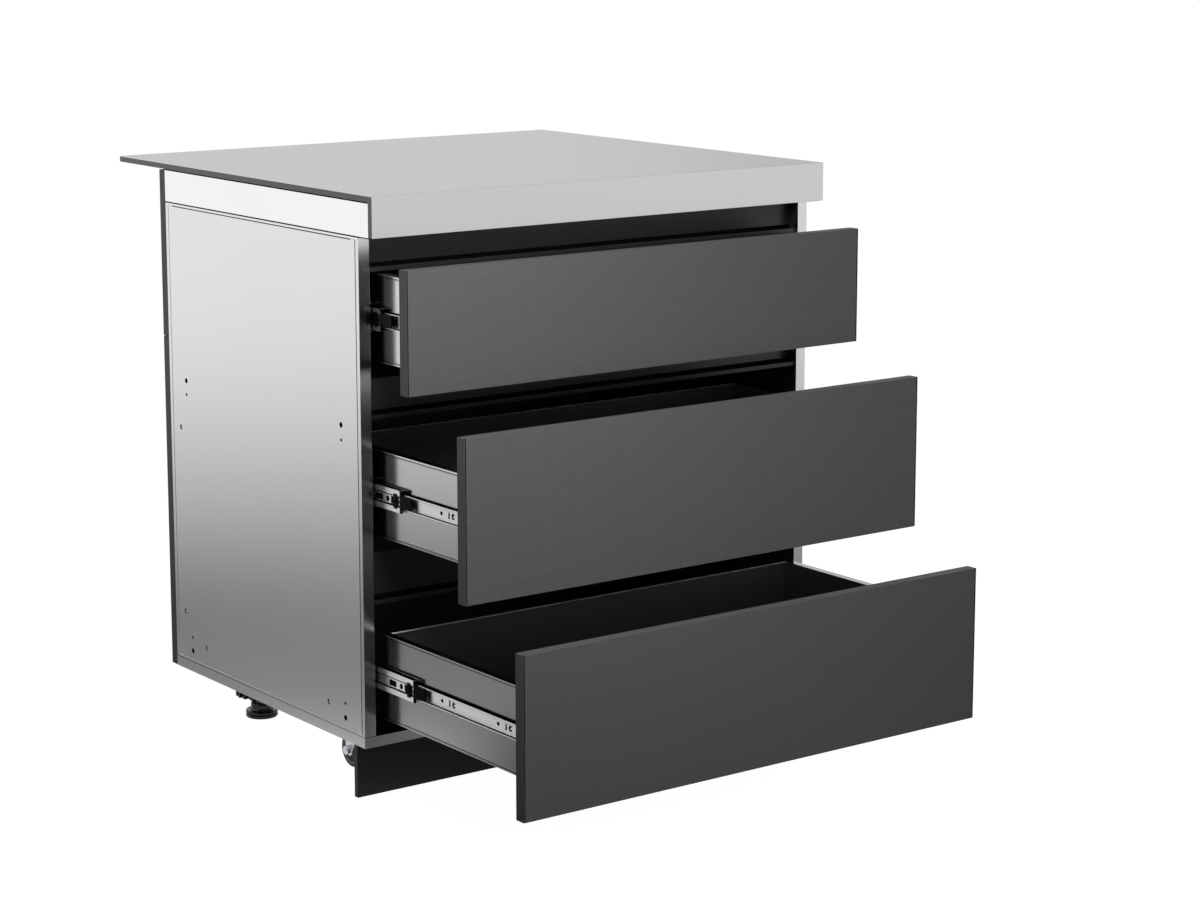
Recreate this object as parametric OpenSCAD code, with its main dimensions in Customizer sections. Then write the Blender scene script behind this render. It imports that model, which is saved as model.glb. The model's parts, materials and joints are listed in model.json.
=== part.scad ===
// Outdoor kitchen drawer unit: a stainless steel cabinet with a folded worktop, three drawers on
// telescopic ball slides, a clip-on plinth, four levelling feet and two swivel casters.
// X runs across the unit, Y runs from the drawer fronts to the back, Z is up from the floor.
// The drawers stand open, each by its own rest opening.

/* [Cabinet] */
// Width of the cabinet and of the worktop
body_w = 900; // [800:10:1000]
// Depth of the cabinet from the front of the posts to the rear cladding
body_d = 616; // [600:2:650]
// Thickness of each side, from its outer face to its inner wall
side_t = 20; // [18:1:26]
// Height of the plinth space under the base
base_z = 100; // [96:1:110]
// Thickness of the base tray
base_t = 18; // [14:1:22]
// Height of the side frames
side_h = 791; // [775:1:795]
// Thickness of the folded sheet
sheet_t = 1.5; // [1:0.1:2]
// Width of the side frame's front border on the outside
front_border = 8.5; // [6:0.5:12]
// Width of the side frame's rear border
rear_border = 9; // [6:0.5:12]
// Height of the side frame's borders at the top and the bottom
edge_border = 4; // [3:0.5:6]
// Groove between the front border and the side panel
front_groove = 2.5; // [1.5:0.5:4]
// How far the side panel lies back from the frame
panel_inset = 0.6; // [0.3:0.1:1]
// Depth of the side panel's folded edges
panel_fold = 12; // [8:1:14]
// Width of the bent-in lower edges of the base tray
tray_return = 14; // [10:1:20]
// Front edge of the front bearer under the base
front_bearer_y = 76; // [70:1:80]
// Width of the front bearer
front_bearer_d = 148; // [146:1:160]
// Distance of the rear bearer from the back of the base
rear_bearer_in = 22; // [16:1:30]
// Width of the rear bearer
rear_bearer_d = 84; // [82:1:88]
// Distance of the bearers' ends from the sides
bearer_in = 45; // [30:1:60]

/* [Worktop] */
// Total depth of the worktop
top_d = 820; // [780:5:850]
// How far the worktop's front stands ahead of the posts
top_front = 41.4; // [38:0.2:46]
// Thickness of the worktop's slab
top_t = 10; // [8:0.5:12]
// Height of the front apron, from the top face
apron_h = 64.4; // [60:0.2:68]
// Thickness of the front apron
apron_t = 12; // [10:0.5:14]
// Thickness of the steel sheet over the worktop's core
top_sheet_t = 1.2; // [0.8:0.1:1.5]
// Height of the bright bands between the sides and the worktop
band_h = 52.8; // [50:0.1:54]
// Shadow gap under each band
band_gap = 1.8; // [1.5:0.1:3]
// Width of the flanges of the cross rails under the worktop
cross_rail_d = 36; // [30:1:50]
// Height of the cross rails under the worktop
cross_rail_h = 40; // [34:1:44]

/* [Drawer fronts] */
// Height of the top drawer's front
shallow_front_h = 191; // [185:0.5:193]
// Height of the two deep drawers' fronts
deep_front_h = 251.5; // [245:0.5:253]
// Thickness of the drawer fronts
front_t = 20; // [18:0.5:22]
// Wall of the hollow drawer fronts
front_wall = 1.2; // [0.8:0.1:2]
// Gap between a front's ends and the outer faces of the sides
front_side_in = 1; // [0.5:0.5:3]
// How far the lowest front reaches below the top of the plinth space
front_drop = 5; // [3:0.5:8]
// Finger gap between the lowest and the middle front
low_gap = 43; // [41:0.5:46]
// Finger gap between the middle and the top front
mid_gap = 40; // [38:0.5:42]
// Gap behind a closed front
closed_gap = 1; // [0.5:0.1:2]
// Radius of the drain holes in a front's lower edge
drain_r = 3; // [2:0.5:4]
// Distance of the drain holes from the front's ends
drain_in = 150; // [100:5:200]

/* [Drawer positions] */
// Rest opening of the top drawer
open_1 = 112; // [60:1:400]
// Rest opening of the middle drawer
open_2 = 264; // [100:1:410]
// Rest opening of the bottom drawer, its full travel
open_3 = 411; // [380:1:411]
// Share of the travel that the top slides' middle members make
mid_share_1 = 0.49; // [0.45:0.01:0.5]
// Share of the travel that the middle slides' middle members make
mid_share_2 = 0.395; // [0.38:0.005:0.5]
// Share of the travel that the bottom slides' middle members make
mid_share_3 = 0.332; // [0.328:0.001:0.4]

/* [Drawer boxes] */
// Height of the drawer boxes
box_h = 137.5; // [125:0.5:140]
// Length of the drawer boxes behind the front
box_d = 406; // [404:1:430]
// Thickness of the double-walled box sides
box_side_t = 13; // [11:0.5:16]
// Sheet thickness of the box
box_sheet = 1.2; // [0.8:0.1:1.5]
// Height of the hems along a box side's upper and lower edges
hem_h = 5; // [4:0.5:7]
// How far the hems stand out
hem_out = 0.8; // [0.5:0.1:1.2]
// Height of the floor above the box's lower edge
floor_up = 10; // [8:0.5:14]
// Width of the shelf that carries the floor
floor_shelf = 12; // [10:0.5:16]
// Height of the top box above its front's lower edge
shallow_box_up = 33; // [30:0.5:34]
// Height of the middle box above its front's lower edge
mid_box_up = 48.5; // [46:0.5:60]
// Height of the bottom box above its front's lower edge
low_box_up = 50; // [48:0.5:60]
// Width of the folded rim along the top of a box's back
back_rim = 6; // [4:0.5:8]

/* [Slides] */
// Gap between the cabinet's inner wall and the drawer box
slide_gap = 13; // [12.8:0.1:13.5]
// Sheet thickness of the slide members
slide_sheet = 1.2; // [1:0.1:1.3]
// Height of the cabinet member
outer_member_h = 45.5; // [45.5:0.1:46.5]
// Height of the middle member
mid_member_h = 35; // [34.5:0.1:35.5]
// Height of the drawer member
inner_member_h = 24; // [23.5:0.1:24.5]
// Length of the cabinet and drawer members
slide_len = 400; // [398:1:402]
// Length of the middle member
mid_member_len = 370; // [350:1:372]
// Start of the cabinet member behind the front of the posts
slide_start = 10; // [8.5:0.5:12]
// Start of the middle member when the drawer is closed
mid_home = 32; // [31:0.5:36]
// Length of the plastic bumper ahead of the middle member
bumper_len = 30; // [24:0.5:30.5]
// Height of the plastic bumper
bumper_h = 20; // [18:0.5:21]
// Play between a ball and the member that it runs on
ball_play = 0.03; // [0.02:0.01:0.05]
// Balls in each row
balls_per_row = 5; // [3:1:6]

/* [Finger rails] */
// Height of the top rail
rail_h_top = 75; // [70:0.5:80]
// Height of the middle rail
rail_h_mid = 62; // [60:0.5:64]
// Height of the bottom rail
rail_h_low = 80; // [72:0.5:84]
// Thickness of the rails' wall
rail_t = 2; // [1.5:0.1:2.5]
// Front face of the rails' upright web behind the posts' front
rail_web_y = 22; // [20:0.5:23]
// Front face of the rails' lip
rail_lip_y = 5; // [3:0.5:6]
// Height of the rails' lip
rail_lip_h = 7; // [5:0.5:9]
// Outer radius of the rails' curved foot
rail_r = 12; // [10:0.5:13]
// Distance from a front's upper edge down to its rail's lowest edge
rail_drop = 18; // [16:0.5:19]

/* [Cladding and plinth] */
// Thickness of the rear cladding
clad_t = 19; // [16:0.5:22]
// Height of the lower cladding panel
clad_low_h = 578; // [560:1:590]
// Seam between the cladding panels
clad_seam = 1; // [0.5:0.1:2]
// Distance of the upper cladding's upper edge below the worktop
clad_top_gap = 2; // [1.6:0.2:6]
// Distance of the plinth panel from each side
plinth_in = 20; // [15:1:25]
// Front face of the plinth panel behind the posts' front
plinth_y = 57; // [54:0.5:58]
// Thickness of the plinth panel
plinth_t = 10; // [8:0.5:10]
// Clearance of the plinth panel above the floor
plinth_clear = 1; // [0.5:0.5:4]
// Width and height of the clips on the plinth
clip_w = 36; // [30:1:40]
// Height of the clips
clip_h = 16; // [12:1:18]

/* [Feet] */
// Distance of the front feet from the sides
front_foot_in = 200; // [195:1:205]
// Distance of the front feet behind the posts' front
front_foot_y = 118; // [117:1:119]
// Distance of the rear feet from the sides
rear_foot_side_in = 130; // [110:1:150]
// Distance of the rear feet from the back of the base
rear_foot_back_in = 63; // [62:1:66]
// Diameter of a foot's base
foot_d = 56; // [50:1:60]
// Height of a foot's base
foot_h = 14; // [12:0.5:18]
// Diameter of a foot's stem
stem_d = 30; // [28:0.5:32]
// Outer diameter of the toothed ring that turns a foot
ring_d = 90; // [80:1:90]
// Lowest height of the toothed ring
ring_z = 40; // [38:0.5:42]
// Thickness of the toothed ring
ring_t = 10; // [8:0.5:11]
// Teeth of the ring
ring_teeth = 20; // [16:1:24]
// How far a foot can be screwed in from its rest
foot_up = 8; // [5:0.5:10]
// Play between a stem and its socket
stem_play = 0.3; // [0.2:0.05:0.4]
// Wall of a socket's tube
socket_wall = 4; // [3:0.5:5]
// Diameter of a socket's flange
flange_d = 66; // [60:1:68]
// Thickness of a socket's flange
flange_t = 5; // [4:0.5:6]
// Length of a socket below the base
socket_len = 36; // [34:0.5:36]

/* [Casters] */
// Distance of the casters' swivel axes from the sides
caster_in = 110; // [100:1:112]
// Distance of the casters' swivel axes behind the posts' front
caster_y = 180; // [178:1:184]
// Offset of the axle behind the swivel axis
trail = 25.5; // [22:0.5:26]
// Diameter of the wheels
wheel_d = 60; // [56:1:62]
// Width of the wheels
wheel_w = 22; // [20:0.5:23]
// Thickness of the tyres
tyre_t = 5.5; // [4:0.5:7]
// Clearance of the wheels above the floor
wheel_clear = 0.5; // [0.3:0.1:2]
// Thickness of the forks and plates
fork_t = 2.5; // [2:0.1:3]
// Side length of the top plates
plate_w = 58; // [54:1:60]
// Diameter of the axle bolts
axle_d = 8; // [6:0.5:8]
// Play between an axle and its bores
axle_play = 0.1; // [0.05:0.01:0.15]
// Width across the flats of the axle nuts
nut_af = 14; // [12:0.5:15]
// Thickness of the axle nuts
nut_t = 7; // [5:0.5:8]

/* [Holes and screws] */
// Diameter of the joining holes in the sides
join_d = 9; // [8:0.5:10]
// Distance of the front joining holes behind the posts' front
join_y = 59; // [50:1:70]
// Distance of the rear joining holes from the back of the side
join_back_in = 57; // [50:1:70]
// Height of the lower joining holes above the side's lower edge
join_up = 19; // [16:0.5:24]
// Distance between the lower and upper joining holes
join_pitch_z = 473; // [460:1:480]
// Diameter of the pilot holes
pilot_d = 5.5; // [4:0.5:6]
// Distance of the pilot holes from the joining holes
pilot_off = 24; // [20:0.5:28]
// Distance of the lower screws from the joining holes, along the side
low_screw_in = 50; // [40:1:60]
// Distance of the lower screws above the joining holes
low_screw_up = 15; // [10:0.5:20]
// Distance of the rear screws from the back of the side
rear_screw_in = 35; // [25:1:40]
// Height of the lower rear screw above the side's lower edge
rear_screw_low = 85.5; // [80:0.5:95]
// Height of the upper rear screw above the side's lower edge
rear_screw_high = 409; // [400:1:420]
// Diameter of the screw shanks
screw_d = 4; // [3:0.5:5]
// Diameter of the screw heads
head_d = 7.4; // [6:0.2:8]
// Thickness of the screw heads
head_t = 2; // [1.5:0.1:2.5]

/* [Hidden] */
$fn = 48;

// Colours of the finishes
steel = [0.72, 0.73, 0.74];
bright_steel = [0.92, 0.93, 0.94];
zinc = [0.82, 0.83, 0.85];
dark_paint = [0.29, 0.30, 0.31];
clad_paint = [0.31, 0.32, 0.33];
black_paint = [0.10, 0.10, 0.10];
black_plastic = [0.08, 0.08, 0.09];
core_grey = [0.33, 0.33, 0.33];
hub_grey = [0.55, 0.56, 0.57];

// One overrun for all cuts
cut = 5;

// Heights
base_top = base_z + base_t;
side_top = base_top + side_h;
band_low = side_top + band_gap;
slab_low = band_low + band_h + band_gap;
top_z = slab_low + top_t;

// Places across the unit
half_w = body_w / 2;
inner_x = half_w - side_t;
box_x = inner_x - slide_gap;
box_inner_x = box_x - box_side_t;

// Feet and casters
front_foot_x = half_w - front_foot_in;
rear_foot_x = half_w - rear_foot_side_in;
rear_foot_y = body_d - rear_foot_back_in;
caster_x = half_w - caster_in;

// Places along the unit
rear_bearer_y = body_d - rear_bearer_in - rear_bearer_d;
join_pitch_y = body_d - join_y - join_back_in;
top_back = top_d - top_front;
centre_y = (top_back - closed_gap - open_3 - front_t) / 2;

// Joining holes, pilot holes and screws on a side, as places along Y and Z
join_z = base_top + join_up;
join_places = [for (j = [0, 1]) for (k = [0, 1]) [join_y + j * join_pitch_y, join_z + k * join_pitch_z]];
pilot_places = [
    for (j = [0, 1]) for (k = [0, 1])
        [join_y + j * join_pitch_y, join_z + k * join_pitch_z + (1 - 2 * k) * pilot_off]
];
screw_places = [
    [join_y + low_screw_in, join_z + low_screw_up],
    [join_y + join_pitch_y - low_screw_in, join_z + low_screw_up],
    [body_d - rear_screw_in, base_top + rear_screw_low],
    [body_d - rear_screw_in, base_top + rear_screw_high]
];

// The drawers from the top down: lower edge and height of the front, lower edge of the box,
// rest opening, and the share of it that the slides' middle members make
front_low_3 = base_z - front_drop;
front_low_2 = front_low_3 + deep_front_h + low_gap;
front_low_1 = front_low_2 + deep_front_h + mid_gap;
front_low = [front_low_1, front_low_2, front_low_3];
front_h = [shallow_front_h, deep_front_h, deep_front_h];
box_low = [front_low_1 + shallow_box_up, front_low_2 + mid_box_up, front_low_3 + low_box_up];
open_y = [open_1, open_2, open_3];
mid_travel = [open_1 * mid_share_1, open_2 * mid_share_2, open_3 * mid_share_3];
function slide_z(n) = box_low[n] + box_h / 2;

// Slide sections, as distances from the cabinet's inner wall
clear = 0.2;
cage_t = 1;
mid_web = slide_sheet + cage_t + 4 * clear;
mid_joggle = 1;
mid_joggle_z = 8;
joggle_run = 1;
mid_depth = 11.2;
outer_depth = 10.4;
cage_web = mid_web + mid_joggle + slide_sheet + clear;
inner_tip = cage_web + cage_t + 2 * clear;
outer_ball_x = 6;
inner_ball_x = 8.7;
outer_ball_gap = (outer_member_h - mid_member_h) / 2 - slide_sheet;
inner_ball_gap = (mid_member_h - inner_member_h) / 2 - slide_sheet;
outer_cage_start = 150;
inner_cage_start = 27;
cage_len = 72;
cage_end = 6;
lip_h = 1;

// Drawer member's holes: places behind the front, repeated along the member
hole_big_d = 9.5;
hole_big_tab = 4;
hole_small_d = 6.5;
hole_slot_w = 4;
hole_slot_h = 10;
hole_big_y = 57.6;
hole_slot_y = 69;
hole_small_y = 89.5;
hole_pitch = 150;
hole_groups = 3;
runner_front = 2;

// Openings near the middle member's front, and its plastic lever
web_hole_d = 9;
web_hole_y = 35;
web_slot_w = 10;
web_slot_h = 9;
web_slot_y = 59;
lever_y = 7;
lever_d = 9;
lever_h = 23;
lever_t = 1.2;
tongue_len = 24;
ear_d = 5;

// Foot and socket
stem_clear = 1;
stem_top = base_z - foot_up - stem_clear;
base_groove = 0.8;
shoulder_h = 3;
gusset_r = 24.5;
gusset_t = 4;
gussets = 6;
tooth_w = 6;
tooth_h = 3;
foot_chamfer = 1;
flange_screw_r = 26;

// Caster
axle_z = wheel_clear + wheel_d / 2;
axle_y = caster_y + trail;
wheel_side_gap = 1.3;
leg_in = wheel_w / 2 + wheel_side_gap;
leg_r = 10;
crown_half = 19;
crown_low = 86;
race_r = 21;
race_gap = 0.3;
pin_r = 5;
pin_head_r = 8;
pin_head_t = 2.5;
hub_rim = 3;
tyre_seat = 0.05;
hub_boss_r = 8;
hub_web_t = 4;
tyre_round_share = 0.45;
tyre_round = tyre_t * tyre_round_share;
plate_screw_off = 21;

// A box between two corners given by their coordinates
module block(x, y, z) {
    translate([x[0], y[0], z[0]])
        cube([x[1] - x[0], y[1] - y[0], z[1] - z[0]]);
}

// The outline's first axis becomes Y and its second axis Z; the length runs along X
module along_x(x0, x1) {
    translate([x0, 0, 0])
        rotate([90, 0, 90])
            linear_extrude(x1 - x0)
                children();
}

// The outline's first axis becomes X and its second axis Z; the length runs along Y
module along_y(y0, y1) {
    translate([0, y1, 0])
        rotate([90, 0, 0])
            linear_extrude(y1 - y0)
                children();
}

// A rectangle between two corners
module area(x, y) {
    translate([x[0], y[0]])
        square([x[1] - x[0], y[1] - y[0]]);
}

// Pieces are drawn for the left side; a right-hand piece is mirrored
module on_side(side) {
    if (side > 0)
        mirror([1, 0, 0])
            children();
    else
        children();
}

module both_sides() {
    for (side = [-1, 1])
        on_side(side)
            children();
}

// Moves the post front plane so that the part's origin lies under the middle of its box
module place() {
    translate([0, -centre_y, 0])
        children();
}

// A bore along X from the left side inwards
module side_bore(at, d) {
    translate([-half_w - cut, at[0], at[1]])
        rotate([0, 90, 0])
            cylinder(h = side_t + 2 * cut, d = d);
}

// Ring frame of a side, folded as a channel: front post, rear post and two thin edges round the panel
module side_frame(side) {
    color(steel)
        place()
            on_side(side)
                difference() {
                    block([-half_w, -inner_x], [0, body_d], [base_top, side_top]);
                    block([-half_w - cut, -inner_x + cut], [front_border, body_d - rear_border],
                          [base_top + edge_border, side_top - edge_border]);
                    block([sheet_t - half_w, -inner_x - sheet_t], [sheet_t, body_d - sheet_t],
                          [base_top + sheet_t, side_top - sheet_t]);
                }
}

// Brushed outer sheet of a side, with folded edges, joining holes and screw holes
module side_panel(side) {
    outer = -half_w + panel_inset;
    y = [front_border + front_groove, body_d - rear_border];
    z = [base_top + edge_border, side_top - edge_border];
    color(steel)
        place()
            on_side(side)
                difference() {
                    block([outer, outer + panel_fold], y, z);
                    block([outer + sheet_t, outer + panel_fold + cut], [y[0] + sheet_t, y[1] - sheet_t],
                          [z[0] + sheet_t, z[1] - sheet_t]);
                    for (at = join_places)
                        side_bore(at, join_d);
                    for (at = pilot_places)
                        side_bore(at, pilot_d);
                    for (at = screw_places)
                        side_bore(at, join_d);
                }
}

// Black inner wall of a side, which carries the slides
module liner(side) {
    color(black_paint)
        place()
            on_side(side)
                difference() {
                    block([-inner_x - sheet_t, -inner_x], [front_border, body_d - rear_border],
                          [base_top + edge_border, side_top - edge_border]);
                    for (at = join_places)
                        side_bore(at, join_d);
                    for (at = screw_places)
                        side_bore(at, screw_d + clear);
                }
}

// A hollow bearer under the base tray's deck
module bearer(y, d) {
    x = half_w - bearer_in;
    difference() {
        block([-x, x], [y, y + d], [base_z, base_top - sheet_t]);
        block([-x - cut, x + cut], [y + sheet_t, y + d - sheet_t], [base_z + sheet_t, base_top - sheet_t]);
    }
}

// Base tray: a deck with turned-down rims and two bearers for the feet and the casters
module base_tray() {
    color(steel)
        place() {
            difference() {
                block([-half_w, half_w], [0, body_d], [base_z, base_top]);
                block([-half_w + sheet_t, half_w - sheet_t], [sheet_t, body_d - sheet_t],
                      [base_z + sheet_t, base_top - sheet_t]);
                block([-half_w + tray_return, half_w - tray_return], [tray_return, body_d - tray_return],
                      [base_z - cut, base_z + cut]);
            }
            bearer(front_bearer_y, front_bearer_d);
            bearer(rear_bearer_y, rear_bearer_d);
        }
}

// Black back panel between the rear posts
module back_panel() {
    color(black_paint)
        place()
            block([-inner_x, inner_x], [body_d - sheet_t, body_d], [base_top, side_top]);
}

// Rear cladding: a shallow cassette, open towards the cabinet
module cladding(z) {
    color(clad_paint)
        place()
            difference() {
                block([-half_w, half_w], [body_d, body_d + clad_t], z);
                block([-half_w + sheet_t, half_w - sheet_t], [body_d - cut, body_d + clad_t - sheet_t],
                      [z[0] + sheet_t, z[1] - sheet_t]);
            }
}

// Finger rail over drawer n: an upright web with a curved foot that ends in a lip
module finger_rail(n, h) {
    low = front_low[n] + front_h[n] - rail_drop;
    bend_y = rail_web_y + rail_t - rail_r;
    color(black_paint)
        place()
            along_x(-inner_x, inner_x) {
                area([rail_web_y, rail_web_y + rail_t], [low + rail_r, low + h]);
                area([rail_lip_y, bend_y], [low, low + rail_t]);
                area([rail_lip_y, rail_lip_y + rail_t], [low, low + rail_lip_h]);
                intersection() {
                    translate([bend_y, low + rail_r])
                        difference() {
                            circle(r = rail_r);
                            circle(r = rail_r - rail_t);
                        }
                    area([bend_y, bend_y + rail_r], [low, low + rail_r]);
                }
            }
}

// Steel sheet over the worktop: top face, apron face and a turned-down rear edge
module worktop_sheet() {
    color(steel)
        place()
            along_x(-half_w, half_w) {
                area([-top_front, top_back], [top_z - top_sheet_t, top_z]);
                area([-top_front, top_sheet_t - top_front], [top_z - apron_h, top_z]);
                area([top_back - top_sheet_t, top_back], [slab_low, top_z]);
            }
}

// Dark core boards of the worktop: slab and apron, mitred together at the front
module worktop_core() {
    front = top_sheet_t - top_front;
    inner_y = apron_t - top_front;
    back = top_back - top_sheet_t;
    upper = top_z - top_sheet_t;
    color(core_grey)
        place() {
            along_x(-half_w, half_w)
                polygon([[front, upper], [inner_y, slab_low], [back, slab_low], [back, upper]]);
            along_x(-half_w, half_w)
                polygon([
                    [front, upper], [front, top_z - apron_h], [inner_y, top_z - apron_h], [inner_y, slab_low]
                ]);
        }
}

// Bright band between a side and the worktop: a face strip on a recessed tube
module top_band(side) {
    color(bright_steel)
        place()
            on_side(side)
                along_y(apron_t - top_front, body_d) {
                    area([-half_w, sheet_t - half_w], [band_low, band_low + band_h]);
                    difference() {
                        area([sheet_t - half_w, -inner_x], [side_top, slab_low]);
                        area([2 * sheet_t - half_w, -inner_x - sheet_t],
                             [side_top + sheet_t, slab_low - sheet_t]);
                    }
                }
}

// Channel section of a cross rail that opens to the back
module cross_rail_section(y) {
    z = slab_low - cross_rail_h;
    area([y, y + sheet_t], [z, slab_low]);
    area([y, y + cross_rail_d], [z, z + sheet_t]);
    area([y, y + cross_rail_d], [slab_low - sheet_t, slab_low]);
}

// Two cross rails between the bands: one behind the top finger rail, one at the back
module cross_rails() {
    color(black_paint)
        place()
            along_x(-inner_x, inner_x) {
                cross_rail_section(rail_web_y + rail_t);
                cross_rail_section(body_d - cross_rail_d);
            }
}

// Plinth panel, which clips to the front feet's sockets
module plinth_panel() {
    color(black_paint)
        place()
            block([plinth_in - half_w, half_w - plinth_in], [plinth_y, plinth_y + plinth_t],
                  [plinth_clear, base_z]);
}

// Clips: a pad on the plinth panel's back and an open ring round the socket's tube
module plinth_clips() {
    tube_r = stem_d / 2 + stem_play + socket_wall;
    ring_r = tube_r + clear;
    pad_y = plinth_y + plinth_t;
    z = base_z - socket_len + clear;
    color(black_plastic)
        place()
            both_sides() {
                block([-front_foot_x - clip_w / 2, clip_w / 2 - front_foot_x], [pad_y, pad_y + socket_wall],
                      [z, z + clip_h]);
                difference() {
                    union() {
                        translate([-front_foot_x, front_foot_y, z])
                            cylinder(h = clip_h, r = ring_r + rail_t);
                        block([-front_foot_x - socket_wall, socket_wall - front_foot_x], [pad_y, front_foot_y],
                              [z, z + clip_h]);
                    }
                    translate([-front_foot_x, front_foot_y, z - cut])
                        cylinder(h = clip_h + 2 * cut, r = ring_r);
                    block([-front_foot_x - ring_r, ring_r - front_foot_x], [front_foot_y + tube_r / 2, body_d],
                          [z - cut, z + clip_h + cut]);
                }
            }
}

// Socket of a foot: a flange under the base and a tube that guides the stem
module leg_socket(x, y) {
    translate([x, y, base_z - socket_len])
        difference() {
            union() {
                cylinder(h = socket_len, r = stem_d / 2 + stem_play + socket_wall);
                translate([0, 0, socket_len - flange_t])
                    cylinder(h = flange_t, d = flange_d);
            }
            translate([0, 0, -cut])
                cylinder(h = socket_len + 2 * cut, r = stem_d / 2 + stem_play);
            for (a = [0 : 120 : 240])
                rotate([0, 0, a])
                    translate([flange_screw_r, 0, -cut])
                        cylinder(h = socket_len + 2 * cut, d = screw_d + clear);
        }
}

module leg_sockets() {
    color(black_plastic)
        place()
            both_sides() {
                leg_socket(-front_foot_x, front_foot_y);
                leg_socket(-rear_foot_x, rear_foot_y);
            }
}

// Levelling foot: base, stem, and a toothed ring on gussets for turning it
module foot(x, y) {
    r = foot_d / 2;
    stem_r = stem_d / 2;
    color(black_plastic)
        place()
            translate([x, y, 0]) {
                rotate_extrude()
                    polygon([
                        [0, 0], [r - foot_chamfer, 0], [r, foot_chamfer],
                        [r, foot_h / 3], [r - base_groove, foot_h / 3 + base_groove / 2],
                        [r, foot_h / 3 + base_groove],
                        [r, foot_h * 2 / 3], [r - base_groove, foot_h * 2 / 3 + base_groove / 2],
                        [r, foot_h * 2 / 3 + base_groove],
                        [r, foot_h - foot_chamfer], [r - foot_chamfer, foot_h],
                        [stem_r, foot_h + shoulder_h], [stem_r, stem_top], [0, stem_top]
                    ]);
                translate([0, 0, ring_z])
                    linear_extrude(ring_t)
                        difference() {
                            union() {
                                circle(d = ring_d - 2 * tooth_h);
                                for (k = [0 : ring_teeth - 1])
                                    rotate(k * 360 / ring_teeth)
                                        area([ring_d / 2 - 2 * tooth_h, ring_d / 2], [-tooth_w / 2, tooth_w / 2]);
                            }
                            circle(r = stem_r);
                        }
                for (k = [0 : gussets - 1])
                    rotate([0, 0, k * 360 / gussets])
                        block([stem_r - foot_chamfer, gusset_r], [-gusset_t / 2, gusset_t / 2],
                              [foot_h - foot_chamfer, ring_z]);
            }
}

// Top plate of a caster with its swivel pin
module caster_plate() {
    half = plate_w / 2;
    plate_low = base_z - fork_t;
    translate([-caster_x, caster_y, 0]) {
        difference() {
            block([-half, half], [-half, half], [plate_low, base_z]);
            for (dx = [-1, 1])
                for (dy = [-1, 1])
                    translate([dx * plate_screw_off, dy * plate_screw_off, plate_low - cut])
                        cylinder(h = fork_t + 2 * cut, d = screw_d + clear);
        }
        translate([0, 0, crown_low - race_gap - pin_head_t])
            cylinder(h = plate_low - crown_low + race_gap + pin_head_t, r = pin_r);
        translate([0, 0, crown_low - race_gap - pin_head_t])
            cylinder(h = pin_head_t, r = pin_head_r);
    }
}

module caster_plates() {
    color(zinc)
        place()
            both_sides()
                caster_plate();
}

// Outline of a fork leg, seen from the side
module fork_leg_outline() {
    difference() {
        union() {
            translate([axle_y, axle_z])
                circle(r = leg_r);
            polygon([
                [caster_y - crown_half, crown_low + fork_t], [caster_y + crown_half, crown_low + fork_t],
                [axle_y + leg_r, crown_low - fork_t * 4], [axle_y + leg_r, axle_z],
                [axle_y - leg_r, axle_z], [caster_y - crown_half, crown_low - fork_t * 4]
            ]);
        }
        translate([axle_y, axle_z])
            circle(r = axle_d / 2 + axle_play);
    }
}

// Caster fork: two legs, a bridge and the swivel race under the top plate
module caster_fork(side) {
    color(zinc)
        place()
            on_side(side) {
                for (x = [-caster_x - leg_in - fork_t, leg_in - caster_x])
                    along_x(x, x + fork_t)
                        fork_leg_outline();
                difference() {
                    union() {
                        block([-caster_x - leg_in, leg_in - caster_x],
                              [caster_y - crown_half, caster_y + crown_half], [crown_low, crown_low + fork_t]);
                        translate([-caster_x, caster_y, crown_low + fork_t])
                            cylinder(h = base_z - 2 * fork_t - crown_low - race_gap, r = race_r);
                    }
                    translate([-caster_x, caster_y, crown_low - cut])
                        cylinder(h = base_z - crown_low + 2 * cut, r = pin_r + clear);
                }
            }
}

// Axle bolt with its head and nut
module caster_axle(side) {
    outer = leg_in + fork_t;
    color(zinc)
        place()
            on_side(side)
                translate([-caster_x, axle_y, axle_z])
                    rotate([0, 90, 0]) {
                        translate([0, 0, -outer])
                            cylinder(h = 2 * outer, d = axle_d);
                        translate([0, 0, outer])
                            cylinder(h = nut_t - head_t, d = nut_af / cos(30), $fn = 6);
                        translate([0, 0, -outer - nut_t])
                            cylinder(h = nut_t, d = nut_af / cos(30), $fn = 6);
                        translate([0, 0, -outer - nut_t - head_t / 2])
                            cylinder(h = head_t / 2, d = axle_d);
                    }
}

// Turns an outline of radius and width about a caster's axle
module about_axle(side) {
    place()
        on_side(side)
            translate([-caster_x, axle_y, axle_z])
                rotate([0, 90, 0])
                    rotate_extrude()
                        children();
}

// Hub of a caster wheel: boss, thin web and rim
module caster_hub(side) {
    rim_r = wheel_d / 2 - tyre_t;
    half = wheel_w / 2;
    boss = leg_in - race_gap;
    color(hub_grey)
        about_axle(side)
            polygon([
                [axle_d / 2 + axle_play, -boss], [hub_boss_r, -boss], [hub_boss_r, -hub_web_t / 2],
                [rim_r - hub_rim, -hub_web_t / 2], [rim_r - hub_rim, -half], [rim_r, -half],
                [rim_r, half], [rim_r - hub_rim, half], [rim_r - hub_rim, hub_web_t / 2],
                [hub_boss_r, hub_web_t / 2], [hub_boss_r, boss], [axle_d / 2 + axle_play, boss]
            ]);
}

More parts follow.
